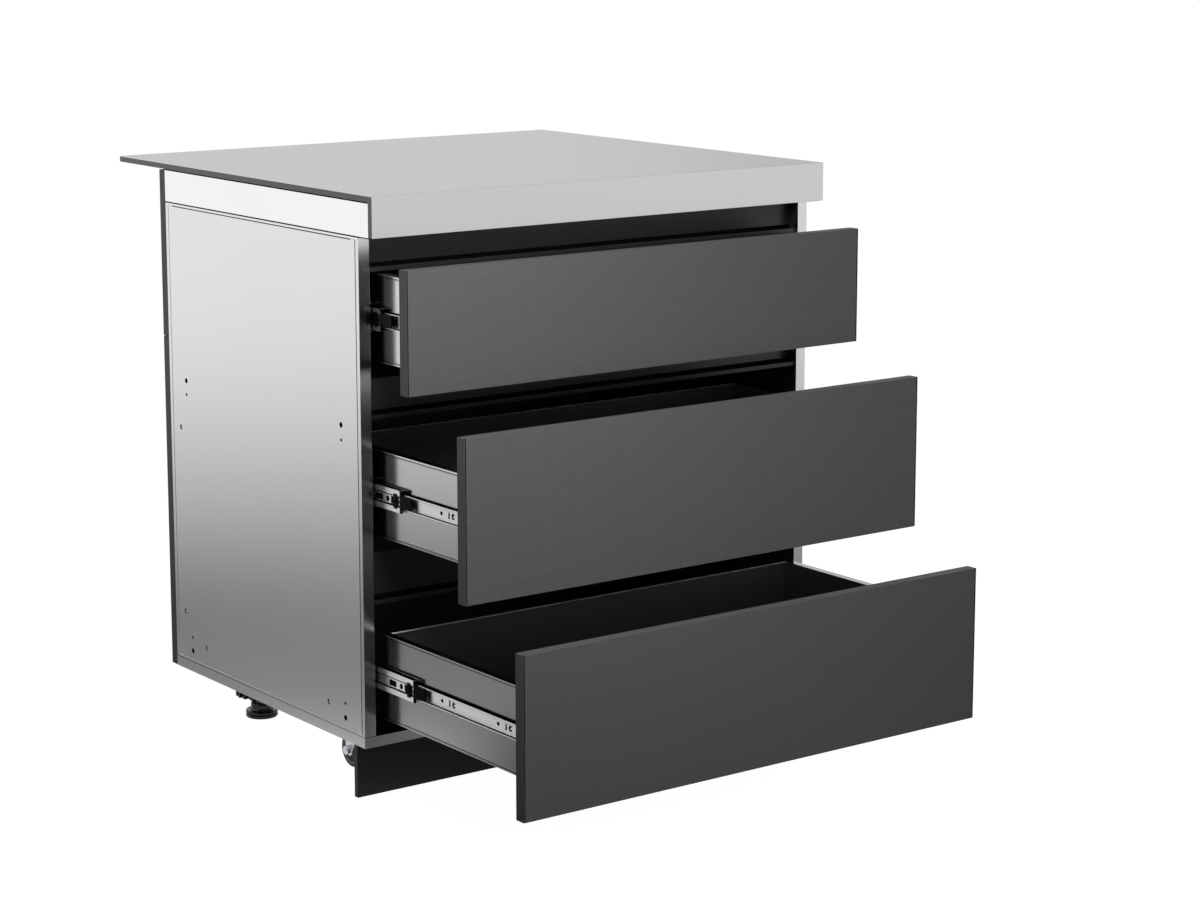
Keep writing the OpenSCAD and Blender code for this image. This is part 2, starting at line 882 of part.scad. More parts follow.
// Tyre of a caster wheel, rounded at its shoulders
module caster_tyre(side) {
    rim_r = wheel_d / 2 - tyre_t;
    half = wheel_w / 2;
    color(black_plastic)
        about_axle(side)
            union() {
                area([rim_r + tyre_seat, wheel_d / 2 - tyre_round], [-half, half]);
                area([wheel_d / 2 - tyre_round, wheel_d / 2], [tyre_round - half, half - tyre_round]);
                for (y = [tyre_round - half, half - tyre_round])
                    translate([wheel_d / 2 - tyre_round, y])
                        circle(r = tyre_round);
            }
}

// Section of a slide's cabinet member, which opens away from the wall
module cabinet_member_section(z) {
    half = outer_member_h / 2;
    translate([-inner_x, z]) {
        area([0, slide_sheet], [-half, half]);
        for (s = [-1, 1])
            scale([1, s]) {
                area([0, outer_depth], [half - slide_sheet, half]);
                area([outer_depth - slide_sheet, outer_depth], [half - slide_sheet - lip_h, half]);
            }
    }
}

// Section of a slide's middle member: flanges and a joggled web
module mid_member_section(z) {
    half = mid_member_h / 2;
    step = mid_joggle_z + joggle_run;
    translate([-inner_x, z]) {
        polygon([
            [mid_web, half - slide_sheet], [mid_web, step], [mid_web + mid_joggle, mid_joggle_z],
            [mid_web + mid_joggle, -mid_joggle_z], [mid_web, -step], [mid_web, slide_sheet - half],
            [mid_web + slide_sheet, slide_sheet - half], [mid_web + slide_sheet, -step],
            [mid_web + mid_joggle + slide_sheet, -mid_joggle_z],
            [mid_web + mid_joggle + slide_sheet, mid_joggle_z],
            [mid_web + slide_sheet, step], [mid_web + slide_sheet, half - slide_sheet]
        ]);
        for (s = [-1, 1])
            scale([1, s])
                area([mid_web, mid_depth], [half - slide_sheet, half]);
    }
}

// Section of a slide's drawer member, which lies against the box
module drawer_member_section(z) {
    half = inner_member_h / 2;
    translate([-inner_x, z]) {
        area([slide_gap - slide_sheet, slide_gap], [-half, half]);
        for (s = [-1, 1])
            scale([1, s])
                area([inner_tip, slide_gap], [half - slide_sheet, half]);
    }
}

module cabinet_runners() {
    color(zinc)
        place()
            both_sides()
                for (n = [0 : 2])
                    along_y(slide_start, slide_start + slide_len)
                        cabinet_member_section(slide_z(n));
}

// A bore through the drawer member's web, with its outline in Y and Z
module member_cut(y, z) {
    translate([-box_x - slide_sheet - cut, y, z])
        rotate([90, 0, 90])
            linear_extrude(slide_sheet + 2 * cut)
                children();
}

// Drawer members of the slides, with groups of a tabbed hole, a slot and a round hole
module drawer_runners(n) {
    front = -closed_gap - open_y[n];
    z = slide_z(n);
    color(zinc)
        place()
            both_sides()
                difference() {
                    along_y(front + runner_front, front + runner_front + slide_len)
                        drawer_member_section(z);
                    for (k = [0 : hole_groups - 1]) {
                        member_cut(front + hole_big_y + k * hole_pitch, z)
                            difference() {
                                circle(d = hole_big_d);
                                translate([-hole_big_tab / 2, 0])
                                    circle(d = hole_big_tab);
                                area([-hole_big_d, 0], [-hole_big_tab / 4, hole_big_tab / 4]);
                            }
                        member_cut(front + hole_slot_y + k * hole_pitch, z)
                            area([-hole_slot_w / 2, hole_slot_w / 2], [-hole_slot_h / 2, hole_slot_h / 2]);
                        member_cut(front + hole_small_y + k * hole_pitch, z)
                            circle(d = hole_small_d);
                    }
                }
}

// Middle members of a drawer's two slides
module slide_members(n) {
    front = mid_home - mid_travel[n];
    z = slide_z(n);
    color(zinc)
        place()
            both_sides()
                difference() {
                    along_y(front, front + mid_member_len)
                        mid_member_section(z);
                    translate([-inner_x, front + web_hole_y, z])
                        rotate([0, 90, 0])
                            cylinder(h = cage_web, d = web_hole_d);
                    block([-inner_x, cage_web - inner_x],
                          [front + web_slot_y - web_slot_w / 2, front + web_slot_y + web_slot_w / 2],
                          [z - web_slot_h / 2, z + web_slot_h / 2]);
                }
}

// Plastic bumper ahead of a middle member, with a tongue under its web and a lever on its bands
module slide_bumpers(n) {
    front = mid_home - mid_travel[n];
    z = slide_z(n);
    web_back = cage_web - clear;
    color(black_plastic)
        place()
            both_sides()
                translate([-inner_x, front, z]) {
                    block([mid_web, inner_tip - clear], [-bumper_len, 0], [-bumper_h / 2, bumper_h / 2]);
                    block([web_back, inner_tip - clear], [0, tongue_len], [-mid_joggle_z, mid_joggle_z]);
                    for (s = [-1, 1])
                        scale([1, 1, s])
                            block([mid_web, mid_web + mid_joggle + slide_sheet], [-ear_d, 0],
                                  [bumper_h / 2, mid_member_h / 2]);
                    difference() {
                        block([mid_web - lever_t, mid_web], [lever_y, lever_y + lever_d],
                              [-lever_h / 2, lever_h / 2]);
                        for (s = [-1, 1])
                            translate([mid_web - lever_t - cut, lever_y + lever_d, s * lever_h / 3])
                                rotate([0, 90, 0])
                                    cylinder(h = lever_t + 2 * cut, d = lever_d / 3);
                    }
                }
}

// A ball cage with its two rows of balls; the cage's web lies at web_x
module ball_cage(web_x, half, depth, ball_x, ball_gap) {
    ball_r = ball_gap / 2 - ball_play;
    arm_z = half - ball_gap / 2;
    step = (cage_len - 2 * cage_end) / (balls_per_row - 1);
    difference() {
        union() {
            block([web_x, web_x + cage_t], [0, cage_len], [-arm_z - cage_t / 2, arm_z + cage_t / 2]);
            for (s = [-1, 1])
                scale([1, 1, s])
                    block([web_x, depth], [0, cage_len], [arm_z - cage_t / 2, arm_z + cage_t / 2]);
        }
        for (k = [0 : balls_per_row - 1])
            translate([ball_x, cage_end + k * step, -half])
                cylinder(h = 2 * half, r = ball_r + ball_play);
    }
    for (k = [0 : balls_per_row - 1])
        for (s = [-1, 1])
            translate([ball_x, cage_end + k * step, s * arm_z])
                sphere(r = ball_r);
}

module slide_ball_cages(n) {
    front = mid_home - mid_travel[n];
    color(zinc)
        place()
            both_sides() {
                translate([-inner_x, front + outer_cage_start, slide_z(n)])
                    ball_cage(slide_sheet + clear, outer_member_h / 2 - slide_sheet,
                              outer_depth - slide_sheet - clear, outer_ball_x, outer_ball_gap);
                translate([-inner_x, front + inner_cage_start, slide_z(n)])
                    ball_cage(cage_web, mid_member_h / 2 - slide_sheet,
                              mid_depth - clear, inner_ball_x, inner_ball_gap);
            }
}

// Hollow drawer front, drained at its lower edge
module drawer_front(n) {
    y = -closed_gap - open_y[n] - front_t;
    x = half_w - front_side_in;
    z = [front_low[n], front_low[n] + front_h[n]];
    color(dark_paint)
        place()
            difference() {
                block([-x, x], [y, y + front_t], z);
                block([front_wall - x, x - front_wall], [y + front_wall, y + front_t - front_wall],
                      [z[0] + front_wall, z[1] - front_wall]);
                for (s = [-1, 1])
                    translate([s * (x - drain_in), y + front_t / 2, z[0] - cut])
                        cylinder(h = front_wall + 2 * cut, r = drain_r);
            }
}

// Section of a double-walled box side with hems outside and a shelf for the floor inside
module box_side_section() {
    translate([-box_x, 0]) {
        area([0, box_sheet], [0, box_h]);
        area([0, box_side_t], [box_h - box_sheet, box_h]);
        area([box_side_t - box_sheet, box_side_t], [floor_up, box_h]);
        area([box_side_t - box_sheet, box_side_t + floor_shelf], [floor_up, floor_up + box_sheet]);
        area([0, box_side_t], [0, box_sheet]);
        area([-hem_out, 0], [0, hem_h]);
        area([-hem_out, 0], [box_h - hem_h, box_h]);
    }
}

// The two sides of a drawer box, each with a flange behind the front
module drawer_sides(n) {
    front = -closed_gap - open_y[n];
    color(steel)
        place()
            both_sides()
                translate([0, 0, box_low[n]]) {
                    along_y(front, front + box_d)
                        box_side_section();
                    block([-box_x, -box_inner_x], [front, front + box_sheet], [0, box_h]);
                }
}

// Back wall of a drawer box, with a folded rim
module drawer_back(n) {
    back = box_d - closed_gap - open_y[n];
    z = [box_low[n] + floor_up + 2 * box_sheet, box_low[n] + box_h];
    color(black_paint)
        place() {
            block([-box_inner_x, box_inner_x], [back - box_sheet, back], z);
            block([-box_inner_x, box_inner_x], [back - back_rim, back - box_sheet], [z[1] - box_sheet, z[1]]);
        }
}

// Floor of a drawer box, on the shelves of its sides
module drawer_floor(n) {
    front = -closed_gap - open_y[n];
    z = box_low[n] + floor_up + box_sheet;
    color(black_paint)
        place()
            block([-box_inner_x, box_inner_x], [front, front + box_d], [z, z + box_sheet]);
}

// A screw through a side: head in the panel's hole, shank to the inner wall, nut behind it
module side_screw(at) {
    translate([-half_w + panel_inset, at[0], at[1]])
        rotate([0, 90, 0]) {
            cylinder(h = head_t, d = head_d);
            cylinder(h = side_t - panel_inset + head_t, d = screw_d);
            translate([0, 0, side_t - panel_inset])
                cylinder(h = head_t, d = head_d, $fn = 6);
        }
}

// A screw up into a bearer, with its head under the plate or flange that it holds
module under_screw(x, y, t) {
    translate([x, y, base_z - t - head_t])
        cylinder(h = head_t, d = head_d);
    translate([x, y, base_z - t])
        cylinder(h = t, d = screw_d);
}

// Screws of the sides, of the caster plates and of the feet's sockets
module screws() {
    color(zinc)
        place()
            both_sides() {
                for (at = screw_places)
                    side_screw(at);
                for (dx = [-1, 1])
                    for (dy = [-1, 1])
                        under_screw(dx * plate_screw_off - caster_x, caster_y + dy * plate_screw_off, fork_t);
                for (at = [[-front_foot_x, front_foot_y], [-rear_foot_x, rear_foot_y]])
                    for (a = [0 : 120 : 240])
                        under_screw(at[0] + flange_screw_r * cos(a), at[1] + flange_screw_r * sin(a), flange_t);
            }
}

side_frame(-1);  // side_frame_left
side_frame(1);  // side_frame_right
side_panel(-1);  // side_panel_left
side_panel(1);  // side_panel_right
liner(-1);  // liner_left
liner(1);  // liner_right
base_tray();
back_panel();
cladding([base_z + clad_low_h + clad_seam, slab_low - clad_top_gap]);  // cladding_upper
cladding([base_z, base_z + clad_low_h]);  // cladding_lower
finger_rail(0, rail_h_top);  // finger_rail_top
finger_rail(1, rail_h_mid);  // finger_rail_middle
finger_rail(2, rail_h_low);  // finger_rail_bottom
worktop_sheet();
worktop_core();
top_band(-1);  // top_band_left
top_band(1);  // top_band_right
cross_rails();
plinth_panel();
plinth_clips();
leg_sockets();
caster_plates();
cabinet_runners();
screws();
for (n = [0 : 2]) {
    drawer_front(n);
    drawer_sides(n);
    drawer_back(n);
    drawer_floor(n);
    drawer_runners(n);
    slide_members(n);
    slide_bumpers(n);
    slide_ball_cages(n);
}
foot(-front_foot_x, front_foot_y);  // foot_front_left
foot(front_foot_x, front_foot_y);  // foot_front_right
foot(-rear_foot_x, rear_foot_y);  // foot_rear_left
foot(rear_foot_x, rear_foot_y);  // foot_rear_right
caster_fork(-1);  // caster_fork_left
caster_axle(-1);  // caster_axle_left
caster_hub(-1);  // caster_hub_left
caster_tyre(-1);  // caster_tyre_left
caster_fork(1);  // caster_fork_right
caster_axle(1);  // caster_axle_right
caster_hub(1);  // caster_hub_right
caster_tyre(1);  // caster_tyre_right
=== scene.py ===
"""Outdoor kitchen drawer unit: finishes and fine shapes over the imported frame, and a studio."""
import json
import math

import bmesh
import bpy
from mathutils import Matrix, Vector

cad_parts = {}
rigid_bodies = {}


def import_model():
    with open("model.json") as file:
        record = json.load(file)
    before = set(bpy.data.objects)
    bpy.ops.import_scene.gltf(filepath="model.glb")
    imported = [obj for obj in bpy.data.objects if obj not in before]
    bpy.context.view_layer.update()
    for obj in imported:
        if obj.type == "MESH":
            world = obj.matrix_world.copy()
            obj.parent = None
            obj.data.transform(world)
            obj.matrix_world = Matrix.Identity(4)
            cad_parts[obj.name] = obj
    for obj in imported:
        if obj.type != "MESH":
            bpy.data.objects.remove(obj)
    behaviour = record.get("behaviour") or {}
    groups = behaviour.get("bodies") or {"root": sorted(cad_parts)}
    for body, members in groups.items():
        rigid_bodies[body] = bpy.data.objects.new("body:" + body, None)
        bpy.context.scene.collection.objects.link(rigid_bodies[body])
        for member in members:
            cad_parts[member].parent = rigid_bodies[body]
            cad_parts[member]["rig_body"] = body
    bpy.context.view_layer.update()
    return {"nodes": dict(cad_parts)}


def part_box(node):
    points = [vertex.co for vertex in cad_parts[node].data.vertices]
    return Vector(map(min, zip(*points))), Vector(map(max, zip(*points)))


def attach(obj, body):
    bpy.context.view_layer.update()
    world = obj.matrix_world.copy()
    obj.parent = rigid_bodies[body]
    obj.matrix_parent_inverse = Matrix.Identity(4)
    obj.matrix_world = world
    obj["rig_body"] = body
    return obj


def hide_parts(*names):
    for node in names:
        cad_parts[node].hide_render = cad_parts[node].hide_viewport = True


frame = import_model()


# Base tray, the first piece on the bench: 1.5 mm stainless sheet with a ground finish, folded down
# into a rim on all four sides. The folds leave a radius of about a millimetre and a slit at each
# corner, and grinding gives the sheet a calm sheen.
def linear(code):
    """The linear colour of an sRGB hex code."""
    parts = [int(code[i:i + 2], 16) / 255 for i in (0, 2, 4)]
    return [p / 12.92 if p <= 0.04045 else ((p + 0.055) / 1.055) ** 2.4 for p in parts] + [1.0]


def add(tree, kind, settings=(), links=()):
    """Adds a shader node with its settings and links.

    The key stops holds the positions and colours of a ramp, in order. Other lower-case keys are
    attributes of the node, and the rest are its inputs.
    """
    node = tree.nodes.new(kind)
    for key, value in dict(settings).items():
        if key == "stops":
            elements = node.color_ramp.elements
            for element, stop in ((elements[0], value[0]), (elements[1], value[-1])):
                element.position, element.color = stop
            for position, colour in value[1:-1]:
                elements.new(position).color = colour
        elif isinstance(key, str) and key[0].islower():
            setattr(node, key, value)
        else:
            node.inputs[key].default_value = value
    for key, socket in dict(links).items():
        tree.links.new(socket, node.inputs[key])
    return node


def new_finish(name, metallic, roughness):
    """A material with its principled shader and the piece's own coordinates, in metres."""
    finish = bpy.data.materials.new(name)
    finish.use_nodes = True
    tree = finish.node_tree
    shader = tree.nodes["Principled BSDF"]
    shader.inputs["Metallic"].default_value = metallic
    shader.inputs["Roughness"].default_value = roughness
    place = add(tree, "ShaderNodeTexCoord")
    return finish, tree, shader, place.outputs["Object"]


def show(tree, shader, tone, gloss=None, bump=None):
    """Gives the shader the tone, gloss and relief of a pattern."""
    tree.links.new(tone.outputs["Color"], shader.inputs["Base Color"])
    if gloss:
        tree.links.new(gloss.outputs["Result"], shader.inputs["Roughness"])
    if bump:
        tree.links.new(bump.outputs["Normal"], shader.inputs["Normal"])


def ground_steel(name, dark, light, along, line_mm=1.2, roughness=(0.275, 0.29), relief=0.004):
    """Sheet steel ground in straight lines along one axis.

    Real lines are about 0.1 mm apart, too fine to show, so they are drawn line_mm apart. They
    vary the tone and the gloss, and blur reflections across the lines.
    """
    finish, tree, shader, place = new_finish(name, 1.0, roughness[0])
    run_mm = 140
    cloud_mm = 260
    scale = [1000 / (run_mm if axis == along else line_mm) for axis in "xyz"]
    stretch = add(tree, "ShaderNodeMapping", {"Scale": scale}, {"Vector": place})
    lines = add(tree, "ShaderNodeTexNoise", {"Scale": 1.0, "Detail": 4.0, "Roughness": 0.65},
                {"Vector": stretch.outputs["Vector"]})
    cloud = add(tree, "ShaderNodeTexNoise", {"Scale": 1000 / cloud_mm, "Detail": 1.0},
                {"Vector": place})
    blend = add(tree, "ShaderNodeMix", {"data_type": "FLOAT", "Factor": 0.35},
                {2: lines.outputs["Fac"], 3: cloud.outputs["Fac"]})
    tone = add(tree, "ShaderNodeValToRGB", {"stops": ((0.3, linear(dark)), (0.7, linear(light)))},
               {"Fac": blend.outputs[0]})
    gloss = add(tree, "ShaderNodeMapRange",
                {"From Min": 0.3, "From Max": 0.7, "To Min": roughness[0], "To Max": roughness[1]},
                {"Value": lines.outputs["Fac"]})
    bump = add(tree, "ShaderNodeBump", {"Strength": relief, "Distance": 0.0002},
               {"Height": lines.outputs["Fac"]})
    show(tree, shader, tone, gloss, bump)
    return finish


SHARP = math.radians(32)  # a sharper edge is rounded and stays a visible edge
FLAT = math.radians(0.4)  # faces that meet at less than this are one flat face
WELD = 2e-6


def smooth(build):
    """Shades a mesh smooth, up to its sharp edges."""
    for edge in build.edges:
        edge.smooth = len(edge.link_faces) == 2 and edge.calc_face_angle() < SHARP
    for face in build.faces:
        face.smooth = True


def dress(node, finish, round_mm=0.0, name=None, segments=2):
    """Gives a frame node its finish. With round_mm, a copy with rounded edges stands in for it."""
    source = frame["nodes"][node]
    if not round_mm:
        source.data.materials.clear()
        source.data.materials.append(finish)
        return source
    mesh = source.data.copy()
    mesh.attributes.remove(mesh.attributes["custom_normal"])
    build = bmesh.new()
    build.from_mesh(mesh)
    bmesh.ops.remove_doubles(build, verts=build.verts, dist=WELD)
    bmesh.ops.dissolve_limit(build, angle_limit=FLAT, verts=build.verts, edges=build.edges)
    edges = [e for e in build.edges if len(e.link_faces) == 2 and e.calc_face_angle() > SHARP]
    bmesh.ops.bevel(build, geom=edges, offset=round_mm / 1000, segments=segments, profile=0.5,
                    affect="EDGES", clamp_overlap=True)
    smooth(build)
    build.to_mesh(mesh)
    build.free()
    mesh.materials.clear()
    mesh.materials.append(finish)
    piece = bpy.data.objects.new(name, mesh)
    bpy.context.scene.collection.objects.link(piece)
    even = piece.modifiers.new("even normals", "WEIGHTED_NORMAL")
    even.keep_sharp = True
    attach(piece, source["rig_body"])
    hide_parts(node)
    return piece


# Folded parts have upright lines, which keep a slightly sharper shine along the folds.
folded_steel = ground_steel("folded_stainless", "e5e5e5", "e8e8e8", "z", 0.9, (0.24, 0.26), 0.005)
tray = dress("base_tray", folded_steel, 0.7, "base_tray_folded")


def shade(name):
    """Painted shade for the inside of a narrow gap: near black with a faint mottle, returning
    almost no light.
    """
    finish, tree, shader, place = new_finish(name, 0.0, 0.9)
    mottle_mm = 2.5
    mottle = add(tree, "ShaderNodeTexNoise", {"Scale": 1000 / mottle_mm}, {"Vector": place})
    tone = add(tree, "ShaderNodeValToRGB",
               {"stops": ((0.0, linear("040404")), (1.0, linear("0b0b0b")))},
               {"Fac": mottle.outputs["Fac"]})
    show(tree, shader, tone)
    shader.inputs["Specular IOR Level"].default_value = 0.1
    return finish


gap_shade = shade("painted_gap_shade")


def saw_cut(piece, low, high):
    """Cuts a box-shaped slot, from its low to its high corner, out of a piece.

    The walls of the slot get painted shade.
    """
    saw_mesh = bpy.data.meshes.new("saw")
    build = bmesh.new()
    bmesh.ops.create_cube(build, size=1.0)
    for vert in build.verts:
        vert.co = [low[i] if vert.co[i] < 0 else high[i] for i in range(3)]
    build.to_mesh(saw_mesh)
    build.free()
    saw_mesh.materials.append(gap_shade)
    saw = bpy.data.objects.new("saw", saw_mesh)
    bpy.context.scene.collection.objects.link(saw)
    slot = piece.modifiers.new("slot", "BOOLEAN")
    slot.object = saw
    slot.material_mode = "TRANSFER"
    piece.modifiers.move(len(piece.modifiers) - 1, 0)
    for modifier in piece.modifiers[1:]:
        modifier.show_viewport = False
    seen = piece.evaluated_get(bpy.context.evaluated_depsgraph_get())
    shaped = bpy.data.meshes.new_from_object(seen)
    piece.modifiers.remove(slot)
    for modifier in piece.modifiers:
        modifier.show_viewport = True
    piece.data = shaped
    bpy.data.objects.remove(saw)


OVERRUN = 0.001  # how far a saw runs past an open end of its slot
SEAM = 0.0007
SEAM_DEPTH = 0.0015
SLIT_FROM_END = 0.0006
# The seams along the top edges and a slit near each front corner have their walls painted as shade.
low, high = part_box("base_tray")
for end in (-1, 1):
    left, right = sorted((end * (high[0] + SEAM_DEPTH), end * (high[0] - SEAM_DEPTH)))
    saw_cut(tray, (left, low[1] - OVERRUN, high[2] - SEAM),
            (right, high[1] + OVERRUN, high[2] + OVERRUN))
    saw_cut(tray, (left, low[1] + SLIT_FROM_END, low[2] - OVERRUN),
            (right, low[1] + SLIT_FROM_END + SEAM, high[2] + OVERRUN))
saw_cut(tray, (low[0] - OVERRUN, low[1] - OVERRUN, high[2] - SEAM),
        (high[0] + OVERRUN, low[1] + SEAM_DEPTH, high[2] + OVERRUN))


# Sockets and levelling feet: nylon, injection moulded in glossy steel tools, near black with a soft
# shine on the rounded edges. The sockets are screwed under the base. Each foot, on its thread, has
# a round base, a stem with ribs, and a toothed ring to turn it by.
def grained(name, colour, roughness, grain_mm=0.8, relief=0.05):
    """A surface with a fine even grain: moulded plastic, rubber, a coating or sealed board.

    Real grain is about 0.1 mm, too fine to show, so it is drawn grain_mm across. It breaks up
    the tone and the gloss a little.
    """
    finish, tree, shader, place = new_finish(name, 0.0, roughness)
    grain = add(tree, "ShaderNodeTexNoise", {"Scale": 1000 / grain_mm, "Detail": 2.0},
                {"Vector": place})
    dark, light = ([c * share for c in linear(colour)[:3]] + [1.0] for share in (0.85, 1.15))
    tone = add(tree, "ShaderNodeValToRGB", {"stops": ((0.0, dark), (1.0, light))},
               {"Fac": grain.outputs["Fac"]})
    gloss = add(tree, "ShaderNodeMapRange",
                {"To Min": roughness * 0.85, "To Max": roughness * 1.2},
                {"Value": grain.outputs["Fac"]})
    bump = add(tree, "ShaderNodeBump", {"Strength": relief, "Distance": 0.0003},
               {"Height": grain.outputs["Fac"]})
    show(tree, shader, tone, gloss, bump)
    return finish


black_nylon = grained("black_moulded_nylon", "1b1c1e", 0.22)
glossy_nylon = grained("glossy_moulded_nylon", "101112", 0.12, relief=0.02)
dress("leg_sockets", black_nylon, 0.5, "leg_sockets_moulded")

# Sizes of the feet in millimetres, as radius and height above the floor.
BASE_PROFILE = ((0, 0), (25.2, 0), (27, 0.5), (28, 1.8), (28, 5.0), (27.2, 5.9), (26.3, 6.4),
                (27.2, 6.9), (28, 7.8), (28, 10.6), (27.5, 12), (26.2, 12.9), (24.6, 12.9),
                (21.6, 12.3), (20.1, 13.2), (19.3, 15), (18.9, 17.6), (19.1, 20), (19.1, 23.6),
                (18.4, 25), (16.6, 25.6), (15, 26.6))
STEM_TOP = 91
STEM_ROUND = 0.8
THREAD_CREST = 15
THREAD_ROOT = 14.2
THREAD_PITCH = 4
RING_LOW = 40
RING_HIGH = 50
RING_TO_THREAD = 2
TEETH = 20
TOOTH = ((-0.28, 39), (-0.2, 45), (0.2, 45), (0.28, 39))  # share of the pitch, and radius
RIBS = 6
RIB = ((14, 25), (18.5, 25), (24.5, 40), (14, 40))
RIB_HALF = 1.2


def turn(build, profile, centre, axis="z", steps=64):
    """Turns a profile of radius and height, in millimetres, round an axis through the centre."""
    rings = []
    for radius, height in profile:
        ring = []
        for k in range(steps if radius > 0 else 1):
            angle = 2 * math.pi * k / steps
            spot = (radius * math.cos(angle), radius * math.sin(angle), height)
            if axis == "x":
                spot = (spot[2], spot[0], spot[1])
            ring.append(build.verts.new([c + v / 1000 for c, v in zip(centre, spot)]))
        rings.append(ring)
    for one, two in zip(rings, rings[1:]):
        for k in range(steps):
            after = k + 1
            corners = [one[k % len(one)], one[after % len(one)],
                       two[after % len(two)], two[k % len(two)]]
            face = list(dict.fromkeys(corners))
            if len(face) > 2:
                build.faces.new(face)


def bridge(build, one, two):
    """A closed solid between two outlines with as many corners each."""
    build.faces.new(list(reversed(one)))
    build.faces.new(two)
    for k in range(len(one)):
        after = (k + 1) % len(one)
        build.faces.new((one[k], one[after], two[after], two[k]))


def piece_from(build, name, finish, body, replaced):
    """Ends a piece: outward faces, smooth shading up to sharp edges, its finish and its body."""
    bmesh.ops.recalc_face_normals(build, faces=build.faces)
    smooth(build)
    mesh = bpy.data.meshes.new(name)
    build.to_mesh(mesh)
    build.free()
    mesh.materials.append(finish)
    piece = bpy.data.objects.new(name, mesh)
    bpy.context.scene.collection.objects.link(piece)
    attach(piece, body)
    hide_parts(replaced)
    return piece


for corner in ("front_left", "front_right", "rear_left", "rear_right"):
    low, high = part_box(f"foot_{corner}")
    centre = ((low[0] + high[0]) / 2, (low[1] + high[1]) / 2, low[2])
    build = bmesh.new()
    profile = list(BASE_PROFILE)
    height = RING_HIGH + RING_TO_THREAD
    while height + THREAD_PITCH < STEM_TOP:
        profile += [(THREAD_CREST, height), (THREAD_ROOT, height + THREAD_PITCH / 2)]
        height += THREAD_PITCH
    profile += [(THREAD_CREST, height), (THREAD_CREST, STEM_TOP - STEM_ROUND),
                (THREAD_ROOT, STEM_TOP), (0, STEM_TOP)]
    turn(build, profile, centre)
    outline = []
    for k in range(TEETH):
        for share, radius in TOOTH:
            angle = 2 * math.pi * (k + share) / TEETH
            outline.append((centre[0] + radius / 1000 * math.cos(angle),
                            centre[1] + radius / 1000 * math.sin(angle)))
    bridge(build, *([build.verts.new((x, y, low[2] + z / 1000)) for x, y in outline]
                    for z in (RING_LOW, RING_HIGH)))
    for k in range(RIBS):
        angle = 2 * math.pi * k / RIBS
        out = Vector((math.cos(angle), math.sin(angle)))
        aside = Vector((-out.y, out.x)) * (RIB_HALF / 1000)
        bridge(build, *([build.verts.new((centre[0] + out.x * r / 1000 + side * aside.x,
                                          centre[1] + out.y * r / 1000 + side * aside.y,
                                          low[2] + z / 1000)) for r, z in RIB]
                        for side in (-1, 1)))
    piece_from(build, f"foot_{corner}_moulded", glossy_nylon, f"foot_{corner}", f"foot_{corner}")


# Casters: forks, plates and axle bolts are pressed or turned steel with bright zinc plating, whose
# crystals give a faint patchy shine. The wheels are grey nylon with a smooth black rubber tread,
# which is dull beside the plating.
def zinc_plated(name, dark, light, roughness=(0.16, 0.3), drawn=0.0):
    """Bright zinc plating with cloudy patches some millimetres across.

    drawn, from 0 to 1, is how much lengthwise rolling marks stretch reflections up and down.
    """
    finish, tree, shader, place = new_finish(name, 1.0, roughness[0])
    if drawn:
        shader.inputs["Anisotropic"].default_value = drawn
        upright = add(tree, "ShaderNodeCombineXYZ", {"Z": 1.0})
        tree.links.new(upright.outputs["Vector"], shader.inputs["Tangent"])
    patch_mm = 6
    patch = add(tree, "ShaderNodeTexNoise", {"Scale": 1000 / patch_mm, "Detail": 3.0},
                {"Vector": place})
    tone = add(tree, "ShaderNodeValToRGB",
               {"stops": ((0.35, linear(dark)), (0.65, linear(light)))},
               {"Fac": patch.outputs["Fac"]})
    gloss = add(tree, "ShaderNodeMapRange", {"To Min": roughness[0], "To Max": roughness[1]},
                {"Value": patch.outputs["Fac"]})
    show(tree, shader, tone, gloss)
    return finish


bright_zinc = zinc_plated("bright_zinc_plating", "dcdee1", "f0f1f3")
grey_nylon = grained("grey_moulded_nylon", "9a9c9e", 0.38)
tread_rubber = grained("smooth_tread_rubber", "18181a", 0.55, grain_mm=1.5)
dress("caster_plates", bright_zinc, 0.4, "caster_plates_plated")
for side in ("left", "right"):
    dress(f"caster_fork_{side}", bright_zinc, 0.5, f"caster_fork_{side}_plated")
    dress(f"caster_axle_{side}", bright_zinc, 0.4, f"caster_axle_{side}_plated")
    dress(f"caster_hub_{side}", grey_nylon, 0.6, f"caster_hub_{side}_moulded")
    dress(f"caster_tyre_{side}", tread_rubber)
